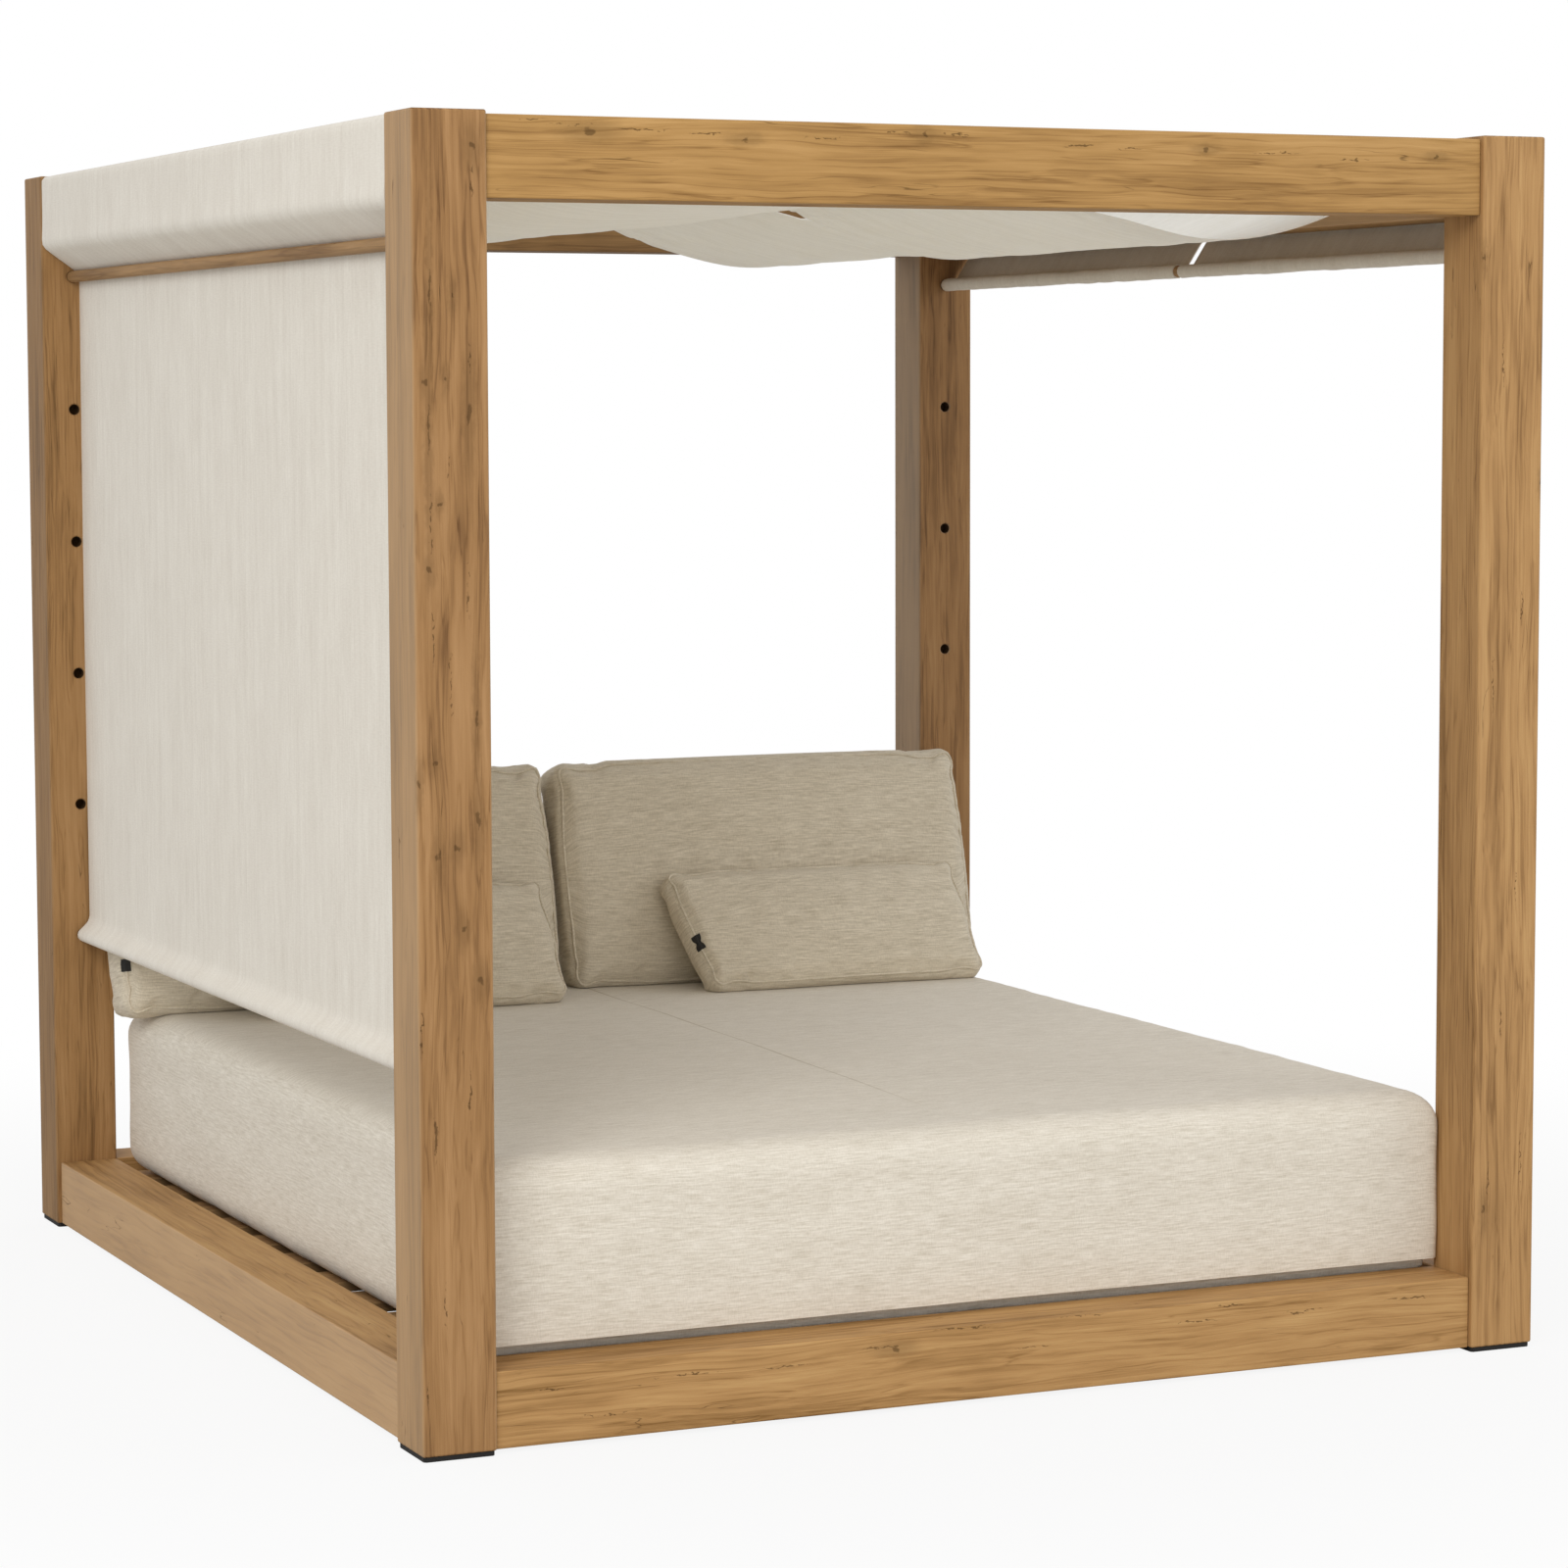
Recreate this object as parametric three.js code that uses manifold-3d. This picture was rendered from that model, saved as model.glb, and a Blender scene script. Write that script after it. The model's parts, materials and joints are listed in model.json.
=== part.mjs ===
// Outdoor daybed with a cloth canopy and one side curtain.
// Millimetres, +Z up. The origin is on the ground, in the middle of the footprint.
// +X is to the right of someone who faces the seat, and -Y is the open front.
import * as THREE from "three";
import { mergeVertices } from "three/addons/utils/BufferGeometryUtils.js";
import Module from "manifold-3d";

const wasm = await Module();
wasm.setup();

// Overall size of the frame
const WIDTH = 2150;
const DEPTH = 2430;
const HEIGHT = 2200;

// Fits that several pieces share
const FIT = 0.3;
const OVERRUN = 5;
const QUARTER_TURN = Math.PI / 2;
const SIDES = [
  ["left", -1],
  ["right", 1],
];
const ENDS = [
  ["front", -1],
  ["back", 1],
];

// Posts and feet
const POST = 130;
const POST_EASE = 4;
const FOOT_THICKNESS = 8;
const FOOT_INSET = 3;

// Beams round the top and rails round the base, set back from the posts' faces
const REVEAL = 9;
const BAR_EASE = 3;
const BEAM_HEIGHT = 135;
const BEAM_DROP = 6;
const RAIL_HEIGHT = 130;
const RAIL_CLEARANCE = 8;
const TENON_THICKNESS = 40;
const TENON_LENGTH = 35;
const TENON_SHOULDER = 25;

// Rows of peg holes in the posts
const HOLE_DIAMETER = 22;
const HOLE_DEPTH = 32;
const HOLE_PITCH = 275;
const HOLE_COUNT = 6;
const TOP_HOLE_BELOW_BEAM = 65;
const ROUND_STEPS = 20;

// Wooden rods along the two sides
const ROD_DIAMETER = 24;
const ROD_END_GAP = 1;
const SPIGOT_DIAMETER = 20;
const SPIGOT_LENGTH = 26;

// Hem rod of the curtain, with a sliding peg in each end
const HEM_END_GAP = 3;
const PEG_DIAMETER = 16;
const PEG_CLEARANCE = 0.4;
const PEG_LENGTH = 60;
const PEG_RECESS = 1;
const PEG_BORE_DEPTH = 64;

// Bed base
const LEDGER_WIDTH = 35;
const LEDGER_HEIGHT = 40;
const SLAT_WIDTH = 110;
const SLAT_THICKNESS = 20;
const SLAT_COUNT = 11;
const SLAT_MARGIN = 20;
const SLAT_TOP_HEIGHT = 112;
const SLAT_EASE = 2;
const BEARER_WIDTH = 60;
const BEARER_HEIGHT = 55;

// Rail that the back cushions lean on
const BACKREST_HEIGHT = 140;
const BACKREST_THICKNESS = 26;
const BACKREST_RISE_SHARE = 0.82;
const BACKREST_SETBACK = 14;
const BACKREST_TENON_LENGTH = 25;
const BACKREST_SHOULDER = 10;

// Ridge of the canopy, sewn up to a rod that runs above it
const RIDGE_OFFSET = 88;
const RIDGE_BELOW_BEAM_TOP = 80;

// Canvas of the canopy, the valances and the curtain
const CLOTH = 2;
const CLOTH_END_GAP = 8;
const STRIP_GAP = 20;
const FRONT_STRIP_LEFT_SAG = 80;
const FRONT_STRIP_RIGHT_SAG = 139;
const BACK_STRIP_LEFT_SAG = 91;
const BACK_STRIP_RIGHT_SAG = 126;
const FRONT_STRIP_DRAW_IN = [120, 53];
const BACK_STRIP_DRAW_IN = [47, 172];
const SAG_STEPS = 14;
const STRIP_STEPS = 4;
const WRAP_STEPS = 18;
const WRAP_TURN_SHARE = 0.72;
const HEM_WRAP_SHARE = 0.9;
const HEM_SLEEVE_END = 12;

// Mattress
const MATTRESS_SIDE_GAP = 8;
const MATTRESS_END_GAP = 6;
const MATTRESS_EDGE_HEIGHT = 463;
const MATTRESS_CROWN = 8;
const MATTRESS_ROUND = 52;
const MATTRESS_DRAW_IN = 6;

// Back cushions, side by side before the posts, whose inner faces they overlap
const BACK_OVERLAP = 32;
const BACK_HEIGHT = 475;
const BACK_THICKNESS = 125;
const BACK_CROWN = 24;
const BACK_ROUND = 42;
const BACK_DRAW_IN = 12;
const BACK_GAP = 6;
const BACK_LEAN = THREE.MathUtils.degToRad(14);

// Lumbar cushions
const LUMBAR_WIDTH_SHARE = 0.7;
const LUMBAR_HEIGHT = 278;
const LUMBAR_THICKNESS = 75;
const LUMBAR_CROWN = 26;
const LUMBAR_ROUND = 26;
const LUMBAR_DRAW_IN = 10;
const LUMBAR_LEAN = THREE.MathUtils.degToRad(37);
const LUMBAR_LEFT_SHARE = 0.435;
const LUMBAR_RIGHT_SHARE = 0.601;

// How close a soft piece lies to what carries it
const SEAT_GAP = 0.6;
const CUSHION_STEPS = [16, 3, 10];
const MATTRESS_STEPS = [12, 12, 3];

// Places that the sizes above give
const postX = (WIDTH - POST) / 2;
const postY = (DEPTH - POST) / 2;
const postBase = FOOT_THICKNESS + FIT;
const barWidth = POST - REVEAL;
const barX = WIDTH / 2 - REVEAL - barWidth / 2;
const barY = DEPTH / 2 - REVEAL - barWidth / 2;
const innerX = WIDTH / 2 - POST;
const innerY = DEPTH / 2 - POST;
const clearX = WIDTH - 2 * POST;
const clearY = DEPTH - 2 * POST;
const beamTop = HEIGHT - BEAM_DROP;
const beamBottom = beamTop - BEAM_HEIGHT;
const topHoleHeight = beamBottom - TOP_HOLE_BELOW_BEAM;
const hemHeight = topHoleHeight - HOLE_PITCH * (HOLE_COUNT - 1);
const clothEnd = clearY / 2 - CLOTH_END_GAP;
const wrapRadius = ROD_DIAMETER / 2 + FIT + CLOTH / 2;
const ridgeSeamHeight = beamTop - RIDGE_BELOW_BEAM_TOP;
const ridgeRodHeight = ridgeSeamHeight + wrapRadius;
const beamZ = beamTop - BEAM_HEIGHT / 2;
const railZ = RAIL_CLEARANCE + RAIL_HEIGHT / 2;
const slatBase = SLAT_TOP_HEIGHT - SLAT_THICKNESS;
const backWidth = innerX - BACK_GAP / 2 + BACK_OVERLAP;
const lumbarWidth = innerX * LUMBAR_WIDTH_SHARE;
const backrestTop = MATTRESS_EDGE_HEIGHT + BACK_HEIGHT * BACKREST_RISE_SHARE;

const material = (color, roughness) =>
  new THREE.MeshStandardMaterial({ color, roughness, metalness: 0 });
const TEAK = () => material(0xb08858, 0.7);
const SLAT_WOOD = () => material(0xa98a62, 0.8);
const PAD = () => material(0x1e1c1a, 0.6);
const CANVAS = () => material(0xdad6cc, 0.95);
const MATTRESS_CLOTH = () => material(0xcfc8ba, 0.95);
const CUSHION_CLOTH = () => material(0xa39a83, 0.95);

const daybed = new THREE.Group();

function place(name, geometry, paint, x = 0, y = 0, z = 0) {
  const mesh = new THREE.Mesh(geometry, paint());
  mesh.name = name;
  mesh.position.set(x, y, z);
  daybed.add(mesh);
  return mesh;
}

// A geometry as a solid that can be joined and cut
function solidOf(geometry) {
  const bare = new THREE.BufferGeometry();
  bare.setAttribute("position", geometry.getAttribute("position").clone());
  if (geometry.index) bare.setIndex(geometry.index.clone());
  const merged = mergeVertices(bare, 1e-3);
  return new wasm.Manifold(
    new wasm.Mesh({
      numProp: 3,
      vertProperties: new Float32Array(merged.attributes.position.array),
      triVerts: new Uint32Array(merged.index.array),
    }),
  );
}

function geometryOf(solid) {
  const mesh = solid.getMesh();
  const geometry = new THREE.BufferGeometry();
  geometry.setAttribute("position", new THREE.BufferAttribute(mesh.vertProperties, 3));
  geometry.setIndex(new THREE.BufferAttribute(mesh.triVerts, 1));
  geometry.computeVertexNormals();
  return geometry;
}

function cut(geometry, tools) {
  return geometryOf(tools.reduce((body, tool) => body.subtract(solidOf(tool)), solidOf(geometry)));
}

// A rectangle with eased corners
function easedRectangle(width, height, ease) {
  const x = width / 2;
  const y = height / 2;
  return new THREE.Shape([
    new THREE.Vector2(-x + ease, -y),
    new THREE.Vector2(x - ease, -y),
    new THREE.Vector2(x, -y + ease),
    new THREE.Vector2(x, y - ease),
    new THREE.Vector2(x - ease, y),
    new THREE.Vector2(-x + ease, y),
    new THREE.Vector2(-x, y - ease),
    new THREE.Vector2(-x, -y + ease),
  ]);
}

// A straight bar along X, Y or Z, centred, with its two section sizes:
// across and up for X and Y, along X and Y for Z.
function bar(axis, across, up, length, ease) {
  const section = axis === "x" ? easedRectangle(up, across, ease) : easedRectangle(across, up, ease);
  const geometry = new THREE.ExtrudeGeometry(section, { depth: length, bevelEnabled: false });
  geometry.translate(0, 0, -length / 2);
  if (axis === "x") geometry.rotateY(QUARTER_TURN);
  if (axis === "y") geometry.rotateX(QUARTER_TURN);
  return geometry;
}

function cylinderAlongY(diameter, length) {
  return new THREE.CylinderGeometry(diameter / 2, diameter / 2, length, ROUND_STEPS);
}

// A beam or a rail with a tenon at each end
function tenonedBar(axis, height, clearLength) {
  const tenonHeight = height - 2 * TENON_SHOULDER;
  const body = bar(axis, barWidth, height, clearLength - 2 * FIT, BAR_EASE);
  const tenon = bar(axis, TENON_THICKNESS, tenonHeight, clearLength + 2 * TENON_LENGTH, BAR_EASE);
  return geometryOf(solidOf(body).add(solidOf(tenon)));
}

// The mortise for such a tenon in a post, seen from the post's middle
function mortise(axis, height, endSign, sideSign, rise) {
  const depth = TENON_LENGTH + FIT + OVERRUN;
  const tall = height - 2 * TENON_SHOULDER + 2 * FIT;
  const pocket = bar(axis, TENON_THICKNESS + 2 * FIT, tall, depth, BAR_EASE);
  const reach = POST / 2 + OVERRUN - depth / 2;
  if (axis === "x") return pocket.translate(-sideSign * reach, endSign * (barY - postY), rise);
  return pocket.translate(sideSign * (barX - postX), -endSign * reach, rise);
}

// Heights of the peg holes, from the top one down
const holeHeights = Array.from({ length: HOLE_COUNT }, (_, i) => topHoleHeight - i * HOLE_PITCH);

function makePost(endSign, sideSign) {
  const length = HEIGHT - postBase;
  const body = bar("z", POST, POST, length, POST_EASE);
  const middle = postBase + length / 2;
  const drill = HOLE_DEPTH + OVERRUN;
  const towardsMiddle = -endSign;
  const holes = holeHeights.map((height) =>
    cylinderAlongY(HOLE_DIAMETER, drill).translate(
      0,
      towardsMiddle * (POST / 2 + OVERRUN - drill / 2),
      height - middle,
    ),
  );
  const mortises = ["x", "y"].flatMap((axis) => [
    mortise(axis, BEAM_HEIGHT, endSign, sideSign, beamZ - middle),
    mortise(axis, RAIL_HEIGHT, endSign, sideSign, railZ - middle),
  ]);
  const sockets = endSign > 0 ? [backrestSocket(sideSign, middle)] : [];
  return cut(body, [...holes, ...mortises, ...sockets]);
}

// Places of the backrest rail
const backrestY = DEPTH / 2 - POST + BACKREST_SETBACK + BACKREST_THICKNESS / 2;
const backrestZ = backrestTop - BACKREST_HEIGHT / 2;
const backrestTenonHeight = BACKREST_HEIGHT - 2 * BACKREST_SHOULDER;

function backrestSocket(sideSign, middle) {
  const depth = BACKREST_TENON_LENGTH + FIT + OVERRUN;
  const tall = backrestTenonHeight + 2 * FIT;
  const socket = bar("x", BACKREST_THICKNESS + 2 * FIT, tall, depth, BAR_EASE);
  return socket.translate(
    -sideSign * (POST / 2 + OVERRUN - depth / 2),
    backrestY - postY,
    backrestZ - middle,
  );
}

function makeBackrest() {
  const board = bar("x", BACKREST_THICKNESS, BACKREST_HEIGHT, clearX - 2 * FIT, BAR_EASE);
  const length = clearX + 2 * BACKREST_TENON_LENGTH;
  const tenon = bar("x", BACKREST_THICKNESS, backrestTenonHeight, length, BAR_EASE);
  return geometryOf(solidOf(board).add(solidOf(tenon)));
}

// Posts, feet
for (const [end, endSign] of ENDS)
  for (const [side, sideSign] of SIDES) {
    const x = sideSign * postX;
    const y = endSign * postY;
    place(`post_${end}_${side}`, makePost(endSign, sideSign), TEAK, x, y, (postBase + HEIGHT) / 2);
    const padWidth = POST - 2 * FOOT_INSET;
    const pad = bar("z", padWidth, padWidth, FOOT_THICKNESS, POST_EASE);
    place(`foot_${end}_${side}`, pad, PAD, x, y, FOOT_THICKNESS / 2);
  }

// Beams round the top and rails round the base: the ridge rod's ends sit in the
// front and the back beam
for (const [end, endSign] of ENDS) {
  const drill = HOLE_DEPTH + OVERRUN;
  const hole = cylinderAlongY(HOLE_DIAMETER, drill).translate(
    RIDGE_OFFSET,
    -endSign * (barWidth / 2 + OVERRUN - drill / 2),
    ridgeRodHeight - beamZ,
  );
  const beam = cut(tenonedBar("x", BEAM_HEIGHT, clearX), [hole]);
  place(`top_beam_${end}`, beam, TEAK, 0, endSign * barY, beamZ);
  const rail = tenonedBar("x", RAIL_HEIGHT, clearX);
  place(`base_rail_${end}`, rail, TEAK, 0, endSign * barY, railZ);
}
for (const [side, sideSign] of SIDES) {
  const beam = tenonedBar("y", BEAM_HEIGHT, clearY);
  place(`top_beam_${side}`, beam, TEAK, sideSign * barX, 0, beamZ);
  const rail = tenonedBar("y", RAIL_HEIGHT, clearY);
  place(`base_rail_${side}`, rail, TEAK, sideSign * barX, 0, railZ);
}

// Bed base: ledgers on the side rails, a bearer with a leg in the middle, and slats
const ledgerTop = slatBase - FIT;
for (const [side, sideSign] of SIDES) {
  const ledger = bar("y", LEDGER_WIDTH, LEDGER_HEIGHT, clearY - 2 * FIT, SLAT_EASE);
  const x = sideSign * (innerX - FIT - LEDGER_WIDTH / 2);
  place(`slat_ledger_${side}`, ledger, SLAT_WOOD, x, 0, ledgerTop - LEDGER_HEIGHT / 2);
}
const bearerBase = ledgerTop - BEARER_HEIGHT;
const bearer = bar("y", BEARER_WIDTH, BEARER_HEIGHT, 2 * (innerY - FIT), SLAT_EASE);
place("centre_bearer", bearer, SLAT_WOOD, 0, 0, ledgerTop - BEARER_HEIGHT / 2);
const legHeight = bearerBase - FIT;
const leg = bar("z", BEARER_WIDTH, BEARER_WIDTH, legHeight, SLAT_EASE);
place("centre_leg", leg, SLAT_WOOD, 0, 0, legHeight / 2);
const slatPitch = (2 * (innerY - SLAT_MARGIN) - SLAT_WIDTH) / (SLAT_COUNT - 1);
for (let i = 0; i < SLAT_COUNT; i++) {
  const slat = bar("x", SLAT_WIDTH, SLAT_THICKNESS, 2 * (innerX - FIT), SLAT_EASE);
  const y = (i - (SLAT_COUNT - 1) / 2) * slatPitch;
  const number = String(i + 1).padStart(2, "0");
  place(`slat_${number}`, slat, SLAT_WOOD, 0, y, slatBase + SLAT_THICKNESS / 2);
}
place("backrest_rail", makeBackrest(), TEAK, 0, backrestY, backrestZ);

// A round rod along Y, turned from half of its outline: [radius, place along the rod] pairs
function turned(halfOutline) {
  const mirrored = halfOutline.map(([r, y]) => [r, -y]).reverse();
  const points = [...mirrored, ...halfOutline].map(([r, y]) => new THREE.Vector2(r, y));
  return new THREE.LatheGeometry(points, ROUND_STEPS);
}

// Fixed rods, whose thinner ends sit in the top holes of the posts and in the beams
function fixedRod() {
  const half = clearY / 2 - ROD_END_GAP;
  const spigot = clearY / 2 + SPIGOT_LENGTH;
  return turned([
    [ROD_DIAMETER / 2, half],
    [SPIGOT_DIAMETER / 2, half],
    [SPIGOT_DIAMETER / 2, spigot],
    [0, spigot],
  ]);
}
for (const [side, sideSign] of SIDES)
  place(`upper_rod_${side}`, fixedRod(), TEAK, sideSign * postX, 0, topHoleHeight);
place("ridge_rod", fixedRod(), TEAK, RIDGE_OFFSET, 0, ridgeRodHeight);

// Hem rod and its two pegs, drawn back into the rod
const hemHalf = clearY / 2 - HEM_END_GAP;
const boreRadius = PEG_DIAMETER / 2 + PEG_CLEARANCE;
const hemRod = turned([
  [ROD_DIAMETER / 2, hemHalf],
  [boreRadius, hemHalf],
  [boreRadius, hemHalf - PEG_BORE_DEPTH],
  [0, hemHalf - PEG_BORE_DEPTH],
]);
place("hem_rod", hemRod, TEAK, -postX, 0, hemHeight);
for (const [end, endSign] of ENDS) {
  const y = endSign * (hemHalf - PEG_RECESS - PEG_LENGTH / 2);
  place(`hem_peg_${end}`, cylinderAlongY(PEG_DIAMETER, PEG_LENGTH), TEAK, -postX, y, hemHeight);
}

// A line moved sideways by a distance, with mitred corners
function offsetLine(line, distance) {
  return line.map((point, i) => {
    const before = point.clone().sub(line[Math.max(i - 1, 0)]);
    const after = line[Math.min(i + 1, line.length - 1)].clone().sub(point);
    if (i === 0) before.copy(after);
    if (i === line.length - 1) after.copy(before);
    const a = before.normalize();
    const b = after.normalize();
    const normal = new THREE.Vector2(-a.y - b.y, a.x + b.x).normalize();
    const stretch = 1 / (normal.x * -a.y + normal.y * a.x);
    return point.clone().addScaledVector(normal, distance * stretch);
  });
}

// Cloth of one thickness: lines[j] is its middle line (x, z), and places[j] holds where
// each point of that line lies along Y
function clothGeometry(lines, places) {
  const count = lines[0].length;
  const positions = [];
  for (const side of [CLOTH / 2, -CLOTH / 2])
    lines.forEach((line, j) => {
      offsetLine(line, side).forEach((p, i) => positions.push(p.x, places[j][i], p.y));
    });
  const sheet = lines.length * count;
  const index = [];
  const quad = (a, b, c, d) => index.push(a, b, c, a, c, d);
  for (let j = 0; j + 1 < lines.length; j++)
    for (let i = 0; i + 1 < count; i++) {
      const a = j * count + i;
      quad(a, a + 1, a + 1 + count, a + count);
      quad(sheet + a, sheet + a + count, sheet + a + 1 + count, sheet + a + 1);
    }
  for (let i = 0; i + 1 < count; i++) {
    const last = (lines.length - 1) * count + i;
    quad(i, sheet + i, sheet + i + 1, i + 1);
    quad(last, last + 1, sheet + last + 1, sheet + last);
  }
  for (let j = 0; j + 1 < lines.length; j++) {
    const first = j * count;
    const end = first + count - 1;
    quad(first, first + count, sheet + first + count, sheet + first);
    quad(end, sheet + end, sheet + end + count, end + count);
  }
  const geometry = new THREE.BufferGeometry();
  geometry.setAttribute("position", new THREE.Float32BufferAttribute(positions, 3));
  geometry.setIndex(index);
  geometry.computeVertexNormals();
  return geometry;
}

// Cloth that has the same line from one place along Y to another
function evenCloth(line, start, end) {
  return clothGeometry(
    [line, line],
    [start, end].map((y) => line.map(() => y)),
  );
}

const point = (x, z) => new THREE.Vector2(x, z);

// A hanging stretch between two points, without its first point
function hang(from, to, sag) {
  return Array.from({ length: SAG_STEPS }, (_, i) => {
    const u = (i + 1) / SAG_STEPS;
    return point(
      THREE.MathUtils.lerp(from.x, to.x, u),
      THREE.MathUtils.lerp(from.y, to.y, u) - 4 * sag * u * (1 - u),
    );
  });
}

// Roof strip: over both side beams, hanging between them and the ridge
const roofLevel = beamTop + FIT + CLOTH / 2;
const ridge = point(RIDGE_OFFSET, ridgeSeamHeight);
function roofLine(leftSag, rightSag) {
  const leftInner = point(-innerX, roofLevel);
  const rightInner = point(innerX, roofLevel);
  return [
    point(-WIDTH / 2 + REVEAL, roofLevel),
    leftInner,
    ...hang(leftInner, ridge, leftSag),
    ...hang(ridge, rightInner, rightSag),
    point(WIDTH / 2 - REVEAL, roofLevel),
  ];
}

// How much of the ridge's draw-in a place across the roof has
function drawInShare(x) {
  const span = x < RIDGE_OFFSET ? innerX + RIDGE_OFFSET : innerX - RIDGE_OFFSET;
  return Math.max(0, 1 - Math.abs(x - RIDGE_OFFSET) / span) ** 2;
}

// A strip with the tunnel for the ridge rod sewn onto its upper side
function makeStrip(yStart, yEnd, leftSag, rightSag, [drawStart, drawEnd]) {
  const line = roofLine(leftSag, rightSag);
  const steps = Array.from({ length: STRIP_STEPS + 1 }, (_, j) => j / STRIP_STEPS);
  const places = steps.map((step) =>
    line.map(({ x }) => {
      const share = drawInShare(x);
      return THREE.MathUtils.lerp(yStart + drawStart * share, yEnd - drawEnd * share, step);
    }),
  );
  const sheet = clothGeometry(steps.map(() => line), places);
  const length = yEnd - drawEnd - yStart - drawStart;
  const middle = (yStart + drawStart + yEnd - drawEnd) / 2;
  const tunnel = cylinderAlongY(2 * wrapRadius + CLOTH, length);
  const bore = cylinderAlongY(2 * wrapRadius - CLOTH, length + 2 * OVERRUN);
  for (const tube of [tunnel, bore]) tube.translate(RIDGE_OFFSET, middle, ridgeRodHeight);
  return geometryOf(solidOf(sheet).add(solidOf(tunnel)).subtract(solidOf(bore)));
}
place(
  "canopy_front",
  makeStrip(
    -clothEnd,
    -STRIP_GAP / 2,
    FRONT_STRIP_LEFT_SAG,
    FRONT_STRIP_RIGHT_SAG,
    FRONT_STRIP_DRAW_IN,
  ),
  CANVAS,
);
place(
  "canopy_back",
  makeStrip(
    STRIP_GAP / 2,
    clothEnd,
    BACK_STRIP_LEFT_SAG,
    BACK_STRIP_RIGHT_SAG,
    BACK_STRIP_DRAW_IN,
  ),
  CANVAS,
);

// Valance in the frame of the left side: over the beam, down its face, then in to the rod
const valanceX = -WIDTH / 2 + REVEAL - FIT - CLOTH / 2;
const valanceTop = roofLevel + CLOTH + FIT;
const foldHeight = beamBottom - FIT - CLOTH / 2;

function aroundRod(fromAngle, turn, steps, height) {
  return Array.from({ length: steps + 1 }, (_, i) => {
    const angle = fromAngle + (turn * i) / steps;
    return point(-postX + wrapRadius * Math.cos(angle), height + wrapRadius * Math.sin(angle));
  });
}

// The angles at which a straight cloth from the fold touches the rod, above it and below it
const foldDirection = Math.atan2(foldHeight - topHoleHeight, valanceX + postX);
const foldDistance = Math.hypot(foldHeight - topHoleHeight, valanceX + postX);
const touchAngle = Math.acos(wrapRadius / foldDistance);
const overBeam = [
  point(-innerX, valanceTop),
  point(valanceX, valanceTop),
  point(valanceX, foldHeight),
];
const overRod = aroundRod(
  foldDirection - touchAngle,
  touchAngle - foldDirection,
  WRAP_STEPS / 3,
  topHoleHeight,
);
const roundRod = aroundRod(
  foldDirection + touchAngle,
  2 * Math.PI * WRAP_TURN_SHARE,
  WRAP_STEPS,
  topHoleHeight,
);
place("valance_left", evenCloth([...overBeam, ...overRod], -clothEnd, clothEnd), CANVAS);

function mirrored(line) {
  return line.map((p) => point(-p.x, p.y)).reverse();
}
const rightLine = mirrored([...overBeam, ...roundRod]);
for (const [end, endSign] of ENDS) {
  const [start, stop] = [(endSign * STRIP_GAP) / 2, endSign * clothEnd].sort((a, b) => a - b);
  place(`valance_right_${end}`, evenCloth(rightLine, start, stop), CANVAS);
}

// Curtain, from the inner side of the upper rod straight down to the sleeve of the hem rod
const curtainX = -postX + wrapRadius;
const curtainTop = topHoleHeight - FIT;
const curtainBottom = hemHeight + FIT;
const curtainLine = [point(curtainX, curtainTop), point(curtainX, curtainBottom)];
place("side_curtain", evenCloth(curtainLine, -clothEnd, clothEnd), CANVAS);

// Hem sleeve: from the curtain round under the hem rod and up its outer side
const sleeveLine = aroundRod(0, -2 * Math.PI * HEM_WRAP_SHARE, WRAP_STEPS, hemHeight);
const sleeveEnd = clothEnd - HEM_SLEEVE_END;
place("hem_sleeve", evenCloth(sleeveLine, -sleeveEnd, sleeveEnd), CANVAS);

// A stuffed piece: a box with rounded edges, crowned on the faces across the chosen axis,
// with sides that are drawn in between its corners. Sizes, crown and steps run along X, Y, Z.
function padded({ size, round, crown, flatBase, drawIn, across, steps }) {
  const box = new THREE.BoxGeometry(2, 2, 2, ...steps);
  box.deleteAttribute("normal");
  box.deleteAttribute("uv");
  const geometry = mergeVertices(box);
  const places = geometry.getAttribute("position");
  const half = size.map((length) => length / 2);
  const others = [0, 1, 2].filter((axis) => axis !== across);
  for (let i = 0; i < places.count; i++) {
    const unit = [places.getX(i), places.getY(i), places.getZ(i)];
    const core = unit.map((u, axis) =>
      THREE.MathUtils.clamp(u * half[axis], round - half[axis], half[axis] - round),
    );
    const out = new THREE.Vector3(...unit.map((u, axis) => u * half[axis] - core[axis]));
    if (out.length() > 0) out.setLength(round);
    const p = out.toArray().map((d, axis) => core[axis] + d);
    const fall = others.reduce((product, axis) => product * (1 - unit[axis] ** 2), 1);
    const raised = flatBase && unit[across] < 0 ? 0 : crown;
    p[across] += raised * fall * unit[across];
    for (const axis of others) {
      const other = others.find((o) => o !== axis);
      p[axis] -= drawIn * unit[axis] ** 3 * (1 - unit[other] ** 2);
    }
    places.setXYZ(i, ...p);
  }
  geometry.computeVertexNormals();
  return geometry;
}

const mattressSize = [
  clearX - 2 * MATTRESS_SIDE_GAP,
  clearY - 2 * MATTRESS_END_GAP,
  MATTRESS_EDGE_HEIGHT - SLAT_TOP_HEIGHT - FIT,
];
const mattress = padded({
  size: mattressSize,
  round: MATTRESS_ROUND,
  crown: MATTRESS_CROWN,
  flatBase: true,
  drawIn: MATTRESS_DRAW_IN,
  across: 2,
  steps: MATTRESS_STEPS,
});
place("mattress", mattress, MATTRESS_CLOTH, 0, 0, MATTRESS_EDGE_HEIGHT - mattressSize[2] / 2);

// Corner points of a geometry as vectors
function corners(geometry) {
  const places = geometry.getAttribute("position");
  return Array.from({ length: places.count }, (_, i) => new THREE.Vector3().fromBufferAttribute(places, i));
}

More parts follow.
